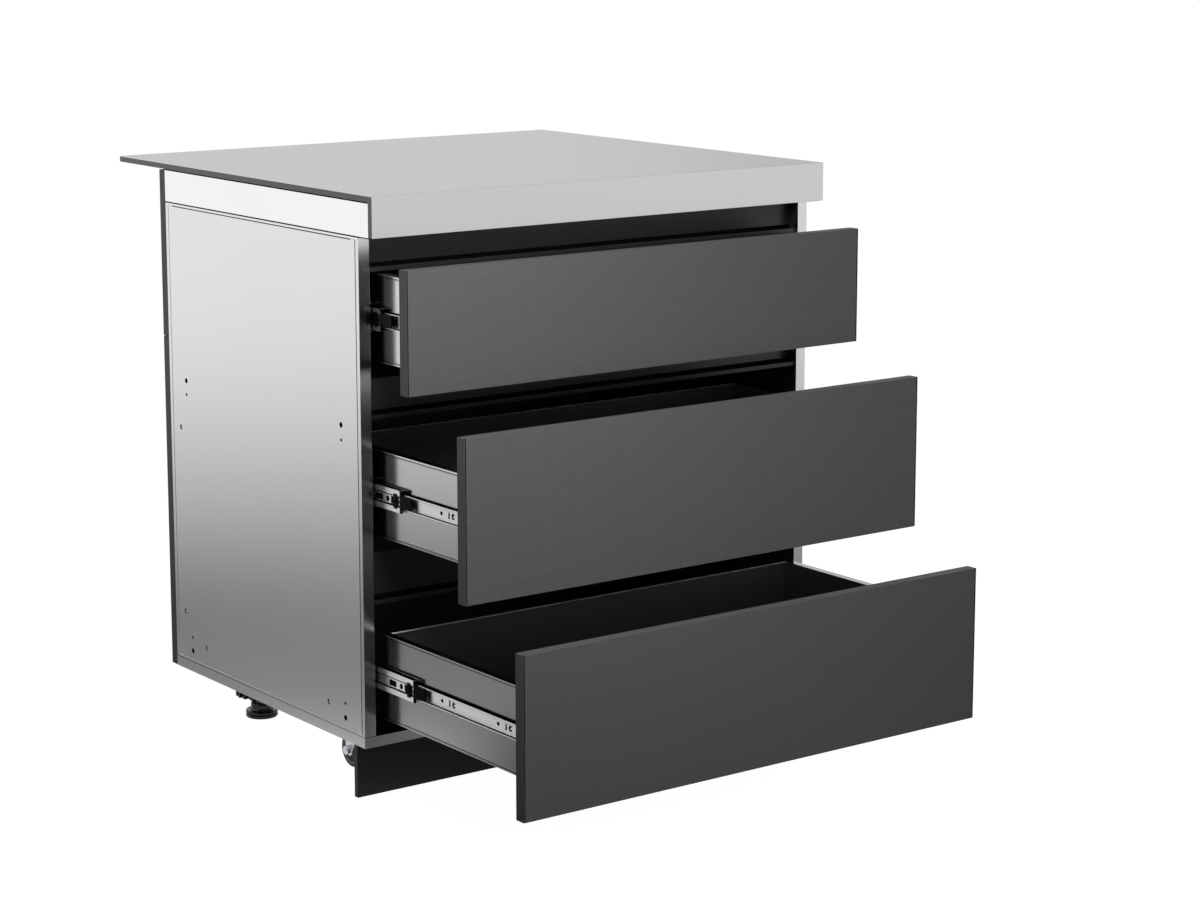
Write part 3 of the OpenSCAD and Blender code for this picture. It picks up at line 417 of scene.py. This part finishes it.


# Sides: a ring frame folded from stainless sheet, a ground stainless panel let into it, and a matt
# black coated inner wall that carries the slides. The folds shine as thin bright lines, and the
# joints between the sheets are painted dark as shade.
# Ground from front to back: broad soft reflections, which darken down the side.
steel_along_y = ground_steel("ground_stainless_along_y", "e6e6e6", "e9e9e9", "y")
matt_black = grained("matt_black_powder_coat", "2b2b2c", 0.45, grain_mm=1.2, relief=0.12)
TOP_JOINT = 2 * SEAM
BOTTOM_JOINT = SEAM / 2
REAR_JOINT = SEAM * 0.7
PANEL_CORNER = 0.012
for side in ("left", "right"):
    dress(f"side_frame_{side}", folded_steel, 0.7, f"side_frame_{side}_folded")
    panel = dress(f"side_panel_{side}", steel_along_y, 0.5, f"side_panel_{side}_folded")
    low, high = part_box(f"side_panel_{side}")
    end = -1 if side == "left" else 1
    skin = max(abs(low[0]), abs(high[0]))
    # The joints cut into the panel have their walls painted as shade.
    left, right = sorted((end * (skin + OVERRUN), end * (skin - SEAM_DEPTH)))
    for bottom, top in ((high[2] - TOP_JOINT, high[2] + OVERRUN),
                        (low[2] - OVERRUN, low[2] + BOTTOM_JOINT)):
        saw_cut(panel, (left, low[1] + PANEL_CORNER, bottom),
                (right, high[1] - PANEL_CORNER, top))
    saw_cut(panel, (left, high[1] - REAR_JOINT, low[2] - OVERRUN),
            (right, high[1] + OVERRUN, high[2] + OVERRUN))
    dress(f"liner_{side}", matt_black)


# Back: a black sheet between the rear posts, and two grey powder-coated cladding cassettes outside.
# Cured powder is even and matt, with a grit of under a millimetre that shows as a fine speckle.
def powder_coat(name, dark, light, roughness=(0.42, 0.55), grit_mm=2.2, relief=0.25):
    """Matt powder coat of fine texture. Real grit is finer, but is drawn grit_mm across to show."""
    finish, tree, shader, place = new_finish(name, 0.0, roughness[0])
    grit = add(tree, "ShaderNodeTexNoise",
               {"Scale": 1000 / grit_mm, "Detail": 3.0, "Roughness": 0.6}, {"Vector": place})
    tone = add(tree, "ShaderNodeValToRGB", {"stops": ((0.3, linear(dark)), (0.7, linear(light)))},
               {"Fac": grit.outputs["Fac"]})
    gloss = add(tree, "ShaderNodeMapRange", {"To Min": roughness[0], "To Max": roughness[1]},
                {"Value": grit.outputs["Fac"]})
    bump = add(tree, "ShaderNodeBump", {"Strength": relief, "Distance": 0.0002},
               {"Height": grit.outputs["Fac"]})
    show(tree, shader, tone, gloss, bump)
    return finish


cladding_grey = powder_coat("anthracite_powder_coat", "3c3d3f", "4a4b4d")
dress("back_panel", matt_black)
dress("cladding_upper", cladding_grey, 1.0, "cladding_upper_folded")
dress("cladding_lower", cladding_grey, 1.0, "cladding_lower_folded")


# Finger rails and cross rails: black anodised aluminium extrusions and folded black sheet, screwed
# between the sides. Anodising leaves a satin sheen along their edges, and the recess below each
# finger rail's lip is painted dark as shade.
rail_black = grained("black_anodised_aluminium", "232324", 0.34, grain_mm=1.0, relief=0.06)
LIP = 0.0024
RECESS_TOP = 0.0135
for place_name in ("top", "middle", "bottom"):
    rail = dress(f"finger_rail_{place_name}", rail_black, 0.4,
                 f"finger_rail_{place_name}_extruded")
    rail.data.materials.append(gap_shade)
    low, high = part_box(f"finger_rail_{place_name}")
    # Faces in the recess under the lip are painted dark as shade.
    for face in rail.data.polygons:
        if face.center.z < low[2] + RECESS_TOP and face.center.y > low[1] + LIP:
            face.material_index = 1
dress("cross_rails", matt_black, 0.6, "cross_rails_folded")


# Slides: three-part ball slides of rolled zinc-plated steel strip, screwed to the inner walls. The
# middle strip has a window at its front end, a slot and a round hole behind it, and a black bumper
# with a lever. Rolling marks draw its highlights out; its folds and cuts are painted dark as shade.
slide_zinc = zinc_plated("rolled_slide_zinc", "f6f6f6", "fdfdfd", (0.42, 0.46), 0.95)
bumper_black = grained("black_bumper_nylon", "0a0a0b", 0.3)
bumper_shader = bumper_black.node_tree.nodes["Principled BSDF"]
bumper_shader.inputs["Specular IOR Level"].default_value = 0.06
STRAIGHT_OUT = 0.99  # the least X part of a normal that faces sideways
WEB_HALF = 0.008
MEMBER_WEB = 0.4285
PUNCH_REACH = 0.004
WINDOW = (0.0085, 0.0255, 0.0062)  # its front and rear ends behind the member's end, half height
LONG_SLOT = (0.049, 0.069, 0.0048)
GROOVES = ((-0.0081, -0.0064), (0.0069, 0.0081))
GROOVE_DEPTH = 0.0006
SHADED_FOLD_HALF = 0.0095
SHADED_FOLD_SLOPE = (0.4, 0.95)
LEVER_BACK = 0.0074
LEVER_MM = ((-5.8, 2.3), (0, 3.6), (5.8, 2.3))  # rise and radius of each lobe
LOBE_ROUND_MM = 0.4
LOBE_HIGH_MM = 2.2
BUMPER_HALF = 0.02
BUMPER_TIP = 0.005
TIP_SHARE = 0.5
for number in (1, 2, 3):
    members = dress(f"slide_{number}_members", slide_zinc, 0.2,
                    f"slide_{number}_members_rolled", segments=1)
    low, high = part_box(f"slide_{number}_members")
    middle = (low[2] + high[2]) / 2
    skin = max(abs(f.center.x) for f in members.data.polygons
               if abs(f.normal.x) > STRAIGHT_OUT and abs(f.center.z - middle) < WEB_HALF)
    for end in (-1, 1):
        left, right = sorted((end * (skin - GROOVE_DEPTH), end * (skin + GROOVE_DEPTH)))
        for bottom, top in GROOVES:
            saw_cut(members, (left, low[1] - OVERRUN, middle + bottom),
                    (right, high[1] + OVERRUN, middle + top))
        left, right = sorted((end * (MEMBER_WEB - PUNCH_REACH), end * (MEMBER_WEB + PUNCH_REACH)))
        for start, stop, half in (WINDOW, LONG_SLOT):
            saw_cut(members, (left, low[1] + start, middle - half),
                    (right, low[1] + stop, middle + half))
    # Sloped faces of the folds are painted dark as shade.
    shaded_fold = len(members.data.materials)
    members.data.materials.append(gap_shade)
    for face in members.data.polygons:
        sloped = SHADED_FOLD_SLOPE[0] < abs(face.normal.z) < SHADED_FOLD_SLOPE[1]
        if sloped and abs(face.center.z - middle) < SHADED_FOLD_HALF:
            face.material_index = shaded_fold
    bumpers = dress(f"slide_{number}_bumpers", bumper_black, 1.0,
                    f"slide_{number}_bumpers_moulded")
    shell = max(abs(v.co.x) for v in bumpers.data.vertices)
    build = bmesh.new()
    build.from_mesh(bumpers.data)
    for end in (-1, 1):
        for rise, radius in LEVER_MM:
            lobe = ((0, 0), (radius - LOBE_ROUND_MM, 0), (radius, LOBE_ROUND_MM),
                    (radius, LOBE_HIGH_MM), (0, LOBE_HIGH_MM))
            turn(build, [(r, -end * h) for r, h in lobe],
                 (end * shell, low[1] + LEVER_BACK, middle + rise / 1000), "x", 24)
    ramp = [v for v in build.verts
            if v.co.y < low[1] - OVERRUN and abs(v.co.z - middle) < BUMPER_HALF]
    root = min(abs(v.co.x) for v in ramp)
    tip = min(v.co.y for v in ramp)
    for vert in ramp:
        if vert.co.y < tip + BUMPER_TIP:
            vert.co.x = math.copysign(root + (abs(vert.co.x) - root) * TIP_SHARE, vert.co.x)
    bmesh.ops.recalc_face_normals(build, faces=build.faces)
    build.to_mesh(bumpers.data)
    build.free()
    dress(f"slide_{number}_ball_cages", bumper_black)
    dress(f"drawer_{number}_runners", slide_zinc)


# Worktop: a ground stainless sheet over dark compact board. The board's sawn and sealed ends show
# at both sides with a slight shine, mitred at the front corner, where the pale glue shows as a
# line. A bright band of finer ground sheet closes the gap to each side.
board = grained("sealed_compact_board", "303030", 0.25, grain_mm=1.6)
board.node_tree.nodes["Principled BSDF"].inputs["Specular IOR Level"].default_value = 0.8
dress("worktop_core", board, 0.4, "worktop_core_sealed")
glue = grained("pale_mitre_glue", "8c8c8c", 0.4)
GLUE_LINE = 0.0004
GLUE_SUNK = 0.0005
GLUE_PROUD = 0.00006
GLUE_START = (0.0004, 0.0004)  # behind the front of the board, and below its top
GLUE_STOP = (0.0118, 0.0098)
low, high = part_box("worktop_core")
build = bmesh.new()
for end in (-1, 1):
    line = [build.verts.new((end * (high[0] + out), low[1] + behind + side * GLUE_LINE / 2,
                             high[2] - below + side * GLUE_LINE / 2))
            for behind, below in (GLUE_START, GLUE_STOP)
            for side in (-1, 1) for out in (-GLUE_SUNK, GLUE_PROUD)]
    bmesh.ops.convex_hull(build, input=line)
piece_from(build, "worktop_mitre_glue", glue, "cabinet", "worktop_core")
# Ground from side to side: an even pale grey, with hardly a reflection that can be made out.
steel_along_x = ground_steel("ground_stainless_along_x", "dbdcdd", "dfe0e1", "x", relief=0.015)
dress("worktop_sheet", steel_along_x, 0.5, "worktop_sheet_ground")
polished_band = ground_steel("fine_ground_band", "f3f3f3", "f8f8f8", "y", 0.9, (0.1, 0.16), 0.03)
BAND_SKIN = 0.0012  # what lies deeper than the face strip is in shade
for side in ("left", "right"):
    band = dress(f"top_band_{side}", polished_band, 0.5, f"top_band_{side}_folded")
    band.data.materials.append(gap_shade)
    low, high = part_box(f"top_band_{side}")
    skin = max(abs(low[0]), abs(high[0]))
    for face in band.data.polygons:
        if abs(face.center.x) < skin - BAND_SKIN:
            face.material_index = 1


# Screws of the sides, caster plates and sockets: cold-headed steel with bright zinc plating. The
# heads on the sides sit a little under the skin in larger holes, each with a drive recess whose
# floor is painted dark as shade.
screws = dress("screws", bright_zinc, 0.25, "screws_plated")
ON_SKIN = 0.0001
HEAD_BACK = 0.0023  # a head reaches this far in from the skin
HEAD_REACH = 0.006
HEAD_SINK = 0.0012
HEAD_SHARE = 0.74
DRIVE_WALL = 0.0012
DRIVE_DEPTH = 0.001
build = bmesh.new()
build.from_mesh(screws.data)
low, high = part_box("screws")
heads = [f for f in build.faces if abs(f.normal.x) > STRAIGHT_OUT
         and abs(f.calc_center_median().x) > high[0] - ON_SKIN]
for head in heads:
    middle = head.calc_center_median()
    end = math.copysign(1, middle.x)
    for vert in build.verts:
        aside = vert.co.yz - middle.yz
        if end * vert.co.x > high[0] - HEAD_BACK and aside.length < HEAD_REACH:
            spot = middle.yz + aside * HEAD_SHARE
            vert.co = (vert.co.x - end * HEAD_SINK, spot.x, spot.y)
# Each head gets a drive recess, its floor painted dark as shade.
for head in heads:
    bmesh.ops.inset_region(build, faces=[head], thickness=DRIVE_WALL)
    deep = bmesh.ops.extrude_discrete_faces(build, faces=[head])["faces"][0]
    for vert in deep.verts:
        vert.co.x -= math.copysign(DRIVE_DEPTH, vert.co.x)
    deep.material_index = 1
build.to_mesh(screws.data)
build.free()
screws.data.materials.append(gap_shade)


# Plinth: a board of black compact laminate, sawn to size with its edges sealed. Nylon clips behind
# it snap round the front feet's sockets. The board is matt, so dark that its grain hardly shows.
plinth_black = grained("black_compact_plinth", "161617", 0.5, grain_mm=1.4)
dress("plinth_panel", plinth_black, 0.6, "plinth_panel_sealed")
dress("plinth_clips", black_nylon, 0.4, "plinth_clips_moulded")


# Drawer boxes: double-walled satin stainless sides whose edges are rolled outwards, with a gap
# beside each roll painted dark as shade. The rolled hems are duller and painted a little lighter, a
# painted highlight that reads as a broad sheen. Back and floor are coated dark grey, and the back's
# upper edge, sheared bare, is painted light as a highlight.
box_steel = ground_steel("satin_box_steel", "dadada", "dedede", "y", 1.0, (0.15, 0.19), 0.01)
hem_highlight_steel = ground_steel("hem_steel_painted_highlight", "e4e4e4", "e8e8e8", "y", 1.0, (0.42, 0.46), 0.01)
sheared_edge_highlight = grained("sheared_edge_painted_highlight", "e8e8e8", 0.35)
inner_coat = grained("dark_grey_drawer_coat", "474748", 0.4, grain_mm=1.2, relief=0.1)
ROLL = 0.0026
ROLL_GAP = 0.0011
BEAD = 0.0008
BEAD_GAP = 0.0006
GAP_DEPTH = 0.0012
GAP_FROM_END = 0.002
RECESS_FROM_END = 0.03
RECESS_HALF = 0.008
OUTER_WALL = 0.003
EDGE = 0.0008  # height of the edge on top of the back that is painted light as a highlight
for number in (1, 2, 3):
    sides = dress(f"drawer_{number}_sides", box_steel, 0.4, f"drawer_{number}_sides_hemmed")
    low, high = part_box(f"drawer_{number}_sides")
    runner_low, runner_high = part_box(f"drawer_{number}_runners")
    runner_middle = (runner_low[2] + runner_high[2]) / 2
    # Gaps beside the rolls and a recess at the runner have their walls painted as shade.
    for end in (-1, 1):
        left, right = sorted((end * (high[0] + OVERRUN), end * (high[0] - GAP_DEPTH)))
        for start, width in ((ROLL, ROLL_GAP), (ROLL + ROLL_GAP + BEAD, BEAD_GAP)):
            for bottom in (low[2] + start, high[2] - start - width):
                saw_cut(sides, (left, low[1] + GAP_FROM_END, bottom),
                        (right, high[1] - GAP_FROM_END, bottom + width))
        saw_cut(sides, (left, low[1] + RECESS_FROM_END, runner_middle - RECESS_HALF),
                (right, high[1] - RECESS_FROM_END, runner_middle + RECESS_HALF))
    # The rolled hems on the outer wall get a lighter steel, a painted highlight.
    hem_highlight = len(sides.data.materials)
    sides.data.materials.append(hem_highlight_steel)
    for face in sides.data.polygons:
        if face.material_index == 0 and abs(face.center.x) > high[0] - OUTER_WALL:
            if face.center.z > high[2] - ROLL or face.center.z < low[2] + ROLL:
                face.material_index = hem_highlight
    back = dress(f"drawer_{number}_back", inner_coat, 0.8, f"drawer_{number}_back_folded")
    # The top edge of the back is painted light, a painted highlight on the sheared edge.
    back.data.materials.append(sheared_edge_highlight)
    low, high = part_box(f"drawer_{number}_back")
    for face in back.data.polygons:
        if face.center.z > high[2] - EDGE:
            face.material_index = 1
    dress(f"drawer_{number}_floor", inner_coat)


# Drawer fronts: hollow casings of powder-coated sheet. The face sheet is folded in at both ends,
# next to the end caps, which leaves a thin joint down each front corner, painted dark as shade.
# The charcoal powder is matt, with a soft sheen where the lamps graze it.
front_coat = powder_coat("charcoal_powder_coat", "454646", "535454")
front_coat.node_tree.nodes["Principled BSDF"].inputs["Specular IOR Level"].default_value = 0.3
CAP_EDGE = 0.0007
JOINT_WIDTH = 0.0017
JOINT_DEPTH = 0.003
for number in (1, 2, 3):
    casing = dress(f"drawer_{number}_front", front_coat, 0.7, f"drawer_{number}_front_folded")
    low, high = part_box(f"drawer_{number}_front")
    for end in (-1, 1):
        # The joint at each front corner has its walls painted as shade.
        left, right = sorted(end * (high[0] - CAP_EDGE - width) for width in (0.0, JOINT_WIDTH))
        saw_cut(casing, (left, low[1] - OVERRUN, low[2] - OVERRUN),
                (right, low[1] + JOINT_DEPTH, high[2] + OVERRUN))


# Camera: a long lens from the front left, a little above the worktop, as in the photograph. It is
# tilted down and shifted a little, so that the object sits in the frame as it does there.
PITCH_DOWN = 10.06
TURN_RIGHT = 36.62
camera_data = bpy.data.cameras.new("camera")
camera_data.sensor_width = 36
camera_data.lens = 85.55
camera_data.shift_y = -0.05
camera = bpy.data.objects.new("camera", camera_data)
camera.location = (-2.7287, -3.8576, 1.4394)
camera.rotation_euler = (math.radians(90 - PITCH_DOWN), 0, math.radians(-TURN_RIGHT))
bpy.context.scene.collection.objects.link(camera)
bpy.context.scene.camera = camera


# Floor: plain and pale. The camera sees it nearly white with the object's soft shadow. Metal sees
# it as a studio floor lit from the rear: darker near the object, in rings of grey levels, and dark
# on the unlit side at the front left, in a wedge that narrows with distance.
floor_half = 30
DARK_SIDE = (-0.6, -0.8, 0.0)
FLOOR_LEVELS = ((0.055, 0.7), (0.068, 0.4), (0.08, 0.29), (0.1, 0.25), (0.13, 0.21),
                (0.145, 0.2), (0.16, 0.24), (0.19, 0.31), (0.21, 0.41), (0.23, 0.46),
                (0.26, 0.52), (0.3, 0.66), (0.34, 0.74), (0.38, 0.84), (0.44, 0.92), (0.53, 0.98))
floor_mesh = bpy.data.meshes.new("floor")
corners = [(x * floor_half, y * floor_half, 0) for x, y in ((-1, -1), (1, -1), (1, 1), (-1, 1))]
floor_mesh.from_pydata(corners, [], [(0, 1, 2, 3)])
floor = bpy.data.objects.new("floor", floor_mesh)
bpy.context.scene.collection.objects.link(floor)
pale = bpy.data.materials.new("pale_floor")
pale.use_nodes = True
tree = pale.node_tree
tree.nodes.remove(tree.nodes["Principled BSDF"])
matt = add(tree, "ShaderNodeBsdfDiffuse", {"Color": [0.8, 0.8, 0.8, 1.0]})
white = add(tree, "ShaderNodeEmission", {"Color": [1.0, 1.0, 1.0, 1.0], "Strength": 1.36})
shown = add(tree, "ShaderNodeMixShader", {"Fac": 0.72}, {1: matt.outputs[0], 2: white.outputs[0]})
spot = add(tree, "ShaderNodeNewGeometry")
far = add(tree, "ShaderNodeVectorMath", {"operation": "LENGTH"}, {0: spot.outputs["Position"]})
reach = add(tree, "ShaderNodeMapRange", {"From Min": 0.0, "From Max": 10.0},
            {"Value": far.outputs["Value"]})
ramp = add(tree, "ShaderNodeValToRGB",
           {"stops": [(position, [level] * 3 + [1.0]) for position, level in FLOOR_LEVELS]},
           {"Fac": reach.outputs["Result"]})
heading = add(tree, "ShaderNodeVectorMath", {"operation": "NORMALIZE"},
              {0: spot.outputs["Position"]})
towards = add(tree, "ShaderNodeVectorMath", {"operation": "DOT_PRODUCT", 1: DARK_SIDE},
              {0: heading.outputs["Vector"]})
away = add(tree, "ShaderNodeMapRange",
           {"From Min": 0.6, "From Max": 0.85, "To Min": 0.7, "To Max": 1.0},
           {"Value": far.outputs["Value"]})
faced = add(tree, "ShaderNodeMath", {"operation": "MULTIPLY"},
            {0: towards.outputs["Value"], 1: away.outputs["Result"]})
edges = [add(tree, "ShaderNodeMapRange",
             {"From Min": 0.9, "From Max": 1.6, "To Min": wide, "To Max": narrow},
             {"Value": far.outputs["Value"]}) for wide, narrow in ((0.35, 0.86), (0.8, 0.985))]
unlit = add(tree, "ShaderNodeMapRange",
            {"interpolation_type": "SMOOTHSTEP", "To Min": 1.0, "To Max": 0.06},
            {"Value": faced.outputs[0], "From Min": edges[0].outputs["Result"],
             "From Max": edges[1].outputs["Result"]})
parts = add(tree, "ShaderNodeSeparateXYZ", links={"Vector": spot.outputs["Position"]})
side_light = add(tree, "ShaderNodeMapRange",
                 {"From Min": -3.0, "From Max": 2.0, "To Min": 0.84, "To Max": 1.0},
                 {"Value": parts.outputs["Y"]})
rays = add(tree, "ShaderNodeLightPath")
matt_share = add(tree, "ShaderNodeMath", {"operation": "MULTIPLY_ADD", 1: 0.62, 2: 0.38},
                 {0: rays.outputs["Is Glossy Ray"]})
levels = add(tree, "ShaderNodeMath", {"operation": "MULTIPLY"},
             {0: side_light.outputs["Result"], 1: matt_share.outputs[0]})
strength = add(tree, "ShaderNodeMath", {"operation": "MULTIPLY"},
               {0: levels.outputs[0], 1: unlit.outputs["Result"]})
mirrored = add(tree, "ShaderNodeEmission",
               links={"Color": ramp.outputs["Color"], "Strength": strength.outputs[0]})
final = add(tree, "ShaderNodeMixShader",
            links={"Fac": rays.outputs["Is Camera Ray"], 1: mirrored.outputs[0],
                   2: shown.outputs[0]})
tree.links.new(final.outputs[0], tree.nodes["Material Output"].inputs["Surface"])
floor_mesh.materials.append(pale)


# World: white behind the object. Metal sees a bright band at the horizon, a greyer wall above it,
# dark on the unlit side and dimmer at its right end, and a tall strip of white card at the rear
# left, which brightens the rolled strip of the slides.
WALL_END = (0.866, 0.5, 0.0)
WHITE_CARD = (-0.6, 0.8, 0.0)
world = bpy.data.worlds.new("studio")
bpy.context.scene.world = world
world.use_nodes = True
tree = world.node_tree
plain = tree.nodes["Background"]
plain.inputs["Color"].default_value = [1.0, 1.0, 1.0, 1.0]
plain.inputs["Strength"].default_value = 0.14
look = add(tree, "ShaderNodeTexCoord")
axes = add(tree, "ShaderNodeSeparateXYZ", links={"Vector": look.outputs["Generated"]})
low_wall, high_wall = ([level * 0.975, level * 0.99, level, 1.0] for level in (0.79, 0.5))
wall = add(tree, "ShaderNodeValToRGB",
           {"stops": ((0.0, [0.985, 0.985, 0.985, 1.0]), (0.15, low_wall), (0.5, high_wall),
                      (1.0, [0.9, 0.9, 0.9, 1.0]))}, {"Fac": axes.outputs["Z"]})
flat = add(tree, "ShaderNodeVectorMath", {"operation": "MULTIPLY", 1: (1.0, 1.0, 0.0)},
           {0: look.outputs["Generated"]})
heading = add(tree, "ShaderNodeVectorMath", {"operation": "NORMALIZE"},
              {0: flat.outputs["Vector"]})
towards = add(tree, "ShaderNodeVectorMath", {"operation": "DOT_PRODUCT", 1: DARK_SIDE},
              {0: heading.outputs["Vector"]})
unlit = add(tree, "ShaderNodeMapRange",
            {"interpolation_type": "SMOOTHSTEP", "From Min": 0.86, "From Max": 0.985,
             "To Min": 1.0, "To Max": 0.06}, {"Value": towards.outputs["Value"]})
wall_end = add(tree, "ShaderNodeVectorMath", {"operation": "DOT_PRODUCT", 1: WALL_END},
               {0: heading.outputs["Vector"]})
faded = add(tree, "ShaderNodeMapRange",
            {"interpolation_type": "SMOOTHSTEP", "From Min": 0.91, "From Max": 0.97,
             "To Min": 1.0, "To Max": 0.7}, {"Value": wall_end.outputs["Value"]})
level = add(tree, "ShaderNodeMath", {"operation": "MULTIPLY"},
            {0: unlit.outputs["Result"], 1: faded.outputs["Result"]})
beside = add(tree, "ShaderNodeVectorMath", {"operation": "DOT_PRODUCT", 1: WHITE_CARD},
             {0: heading.outputs["Vector"]})
width = add(tree, "ShaderNodeMapRange",
            {"interpolation_type": "SMOOTHSTEP", "From Min": 0.9, "From Max": 0.98},
            {"Value": beside.outputs["Value"]})
height = add(tree, "ShaderNodeValToRGB",
             {"stops": [(position, [shine] * 3 + [1.0]) for position, shine in (
                 (0.0, 0.0), (0.08, 0.0), (0.2, 1.0), (0.8, 1.0), (0.92, 0.0), (1.0, 0.0))]},
             {"Fac": axes.outputs["Z"]})
strip = add(tree, "ShaderNodeMath", {"operation": "MULTIPLY"},
            {0: width.outputs["Result"], 1: height.outputs["Color"]})
walls = add(tree, "ShaderNodeMix", {"data_type": "RGBA", 7: [1.18, 1.18, 1.18, 1.0]},
            {0: strip.outputs[0], 6: wall.outputs["Color"]})
gloss_wall = add(tree, "ShaderNodeBackground",
                 links={"Color": walls.outputs[2], "Strength": level.outputs[0]})
backdrop = add(tree, "ShaderNodeBackground", {"Color": [1.0, 1.0, 1.0, 1.0], "Strength": 1.0})
rays = add(tree, "ShaderNodeLightPath")
gloss_rays = add(tree, "ShaderNodeMath", {"operation": "MAXIMUM"},
                 {0: rays.outputs["Is Glossy Ray"], 1: rays.outputs["Is Transmission Ray"]})
lit = add(tree, "ShaderNodeMixShader",
          links={"Fac": gloss_rays.outputs[0], 1: plain.outputs[0], 2: gloss_wall.outputs[0]})
sky = add(tree, "ShaderNodeMixShader",
          links={"Fac": rays.outputs["Is Camera Ray"], 1: lit.outputs[0], 2: backdrop.outputs[0]})
tree.links.new(sky.outputs[0], tree.nodes["World Output"].inputs["Surface"])


# Lamps: a soft box high at the front left, a weak one low at the front, and a large one overhead.
# Metal shows the walls and the floor, not the lamps, so they are hidden from its reflections.
for name, place_of, aim, size, watts in (
        ("key", (-0.55, -1.0, 1.4), (-0.1, -0.3, 0.6), 0.6, 15.5),
        ("fill", (-0.2, -1.8, 0.45), (-0.1, -0.4, 0.35), 1.0, 6.5),
        ("top", (0.0, -0.3, 3.4), (0.0, 0.0, 0.0), 2.6, 10)):
    lamp_data = bpy.data.lights.new(name, "AREA")
    lamp_data.shape = "SQUARE"
    lamp_data.size = size
    lamp_data.energy = watts
    lamp = bpy.data.objects.new(name, lamp_data)
    bpy.context.scene.collection.objects.link(lamp)
    lamp.location = place_of
    lamp.visible_camera = False
    lamp.visible_glossy = False
    lamp.rotation_euler = (Vector(aim) - Vector(place_of)).to_track_quat("-Z", "Y").to_euler()

bpy.context.scene.view_settings.view_transform = "Standard"
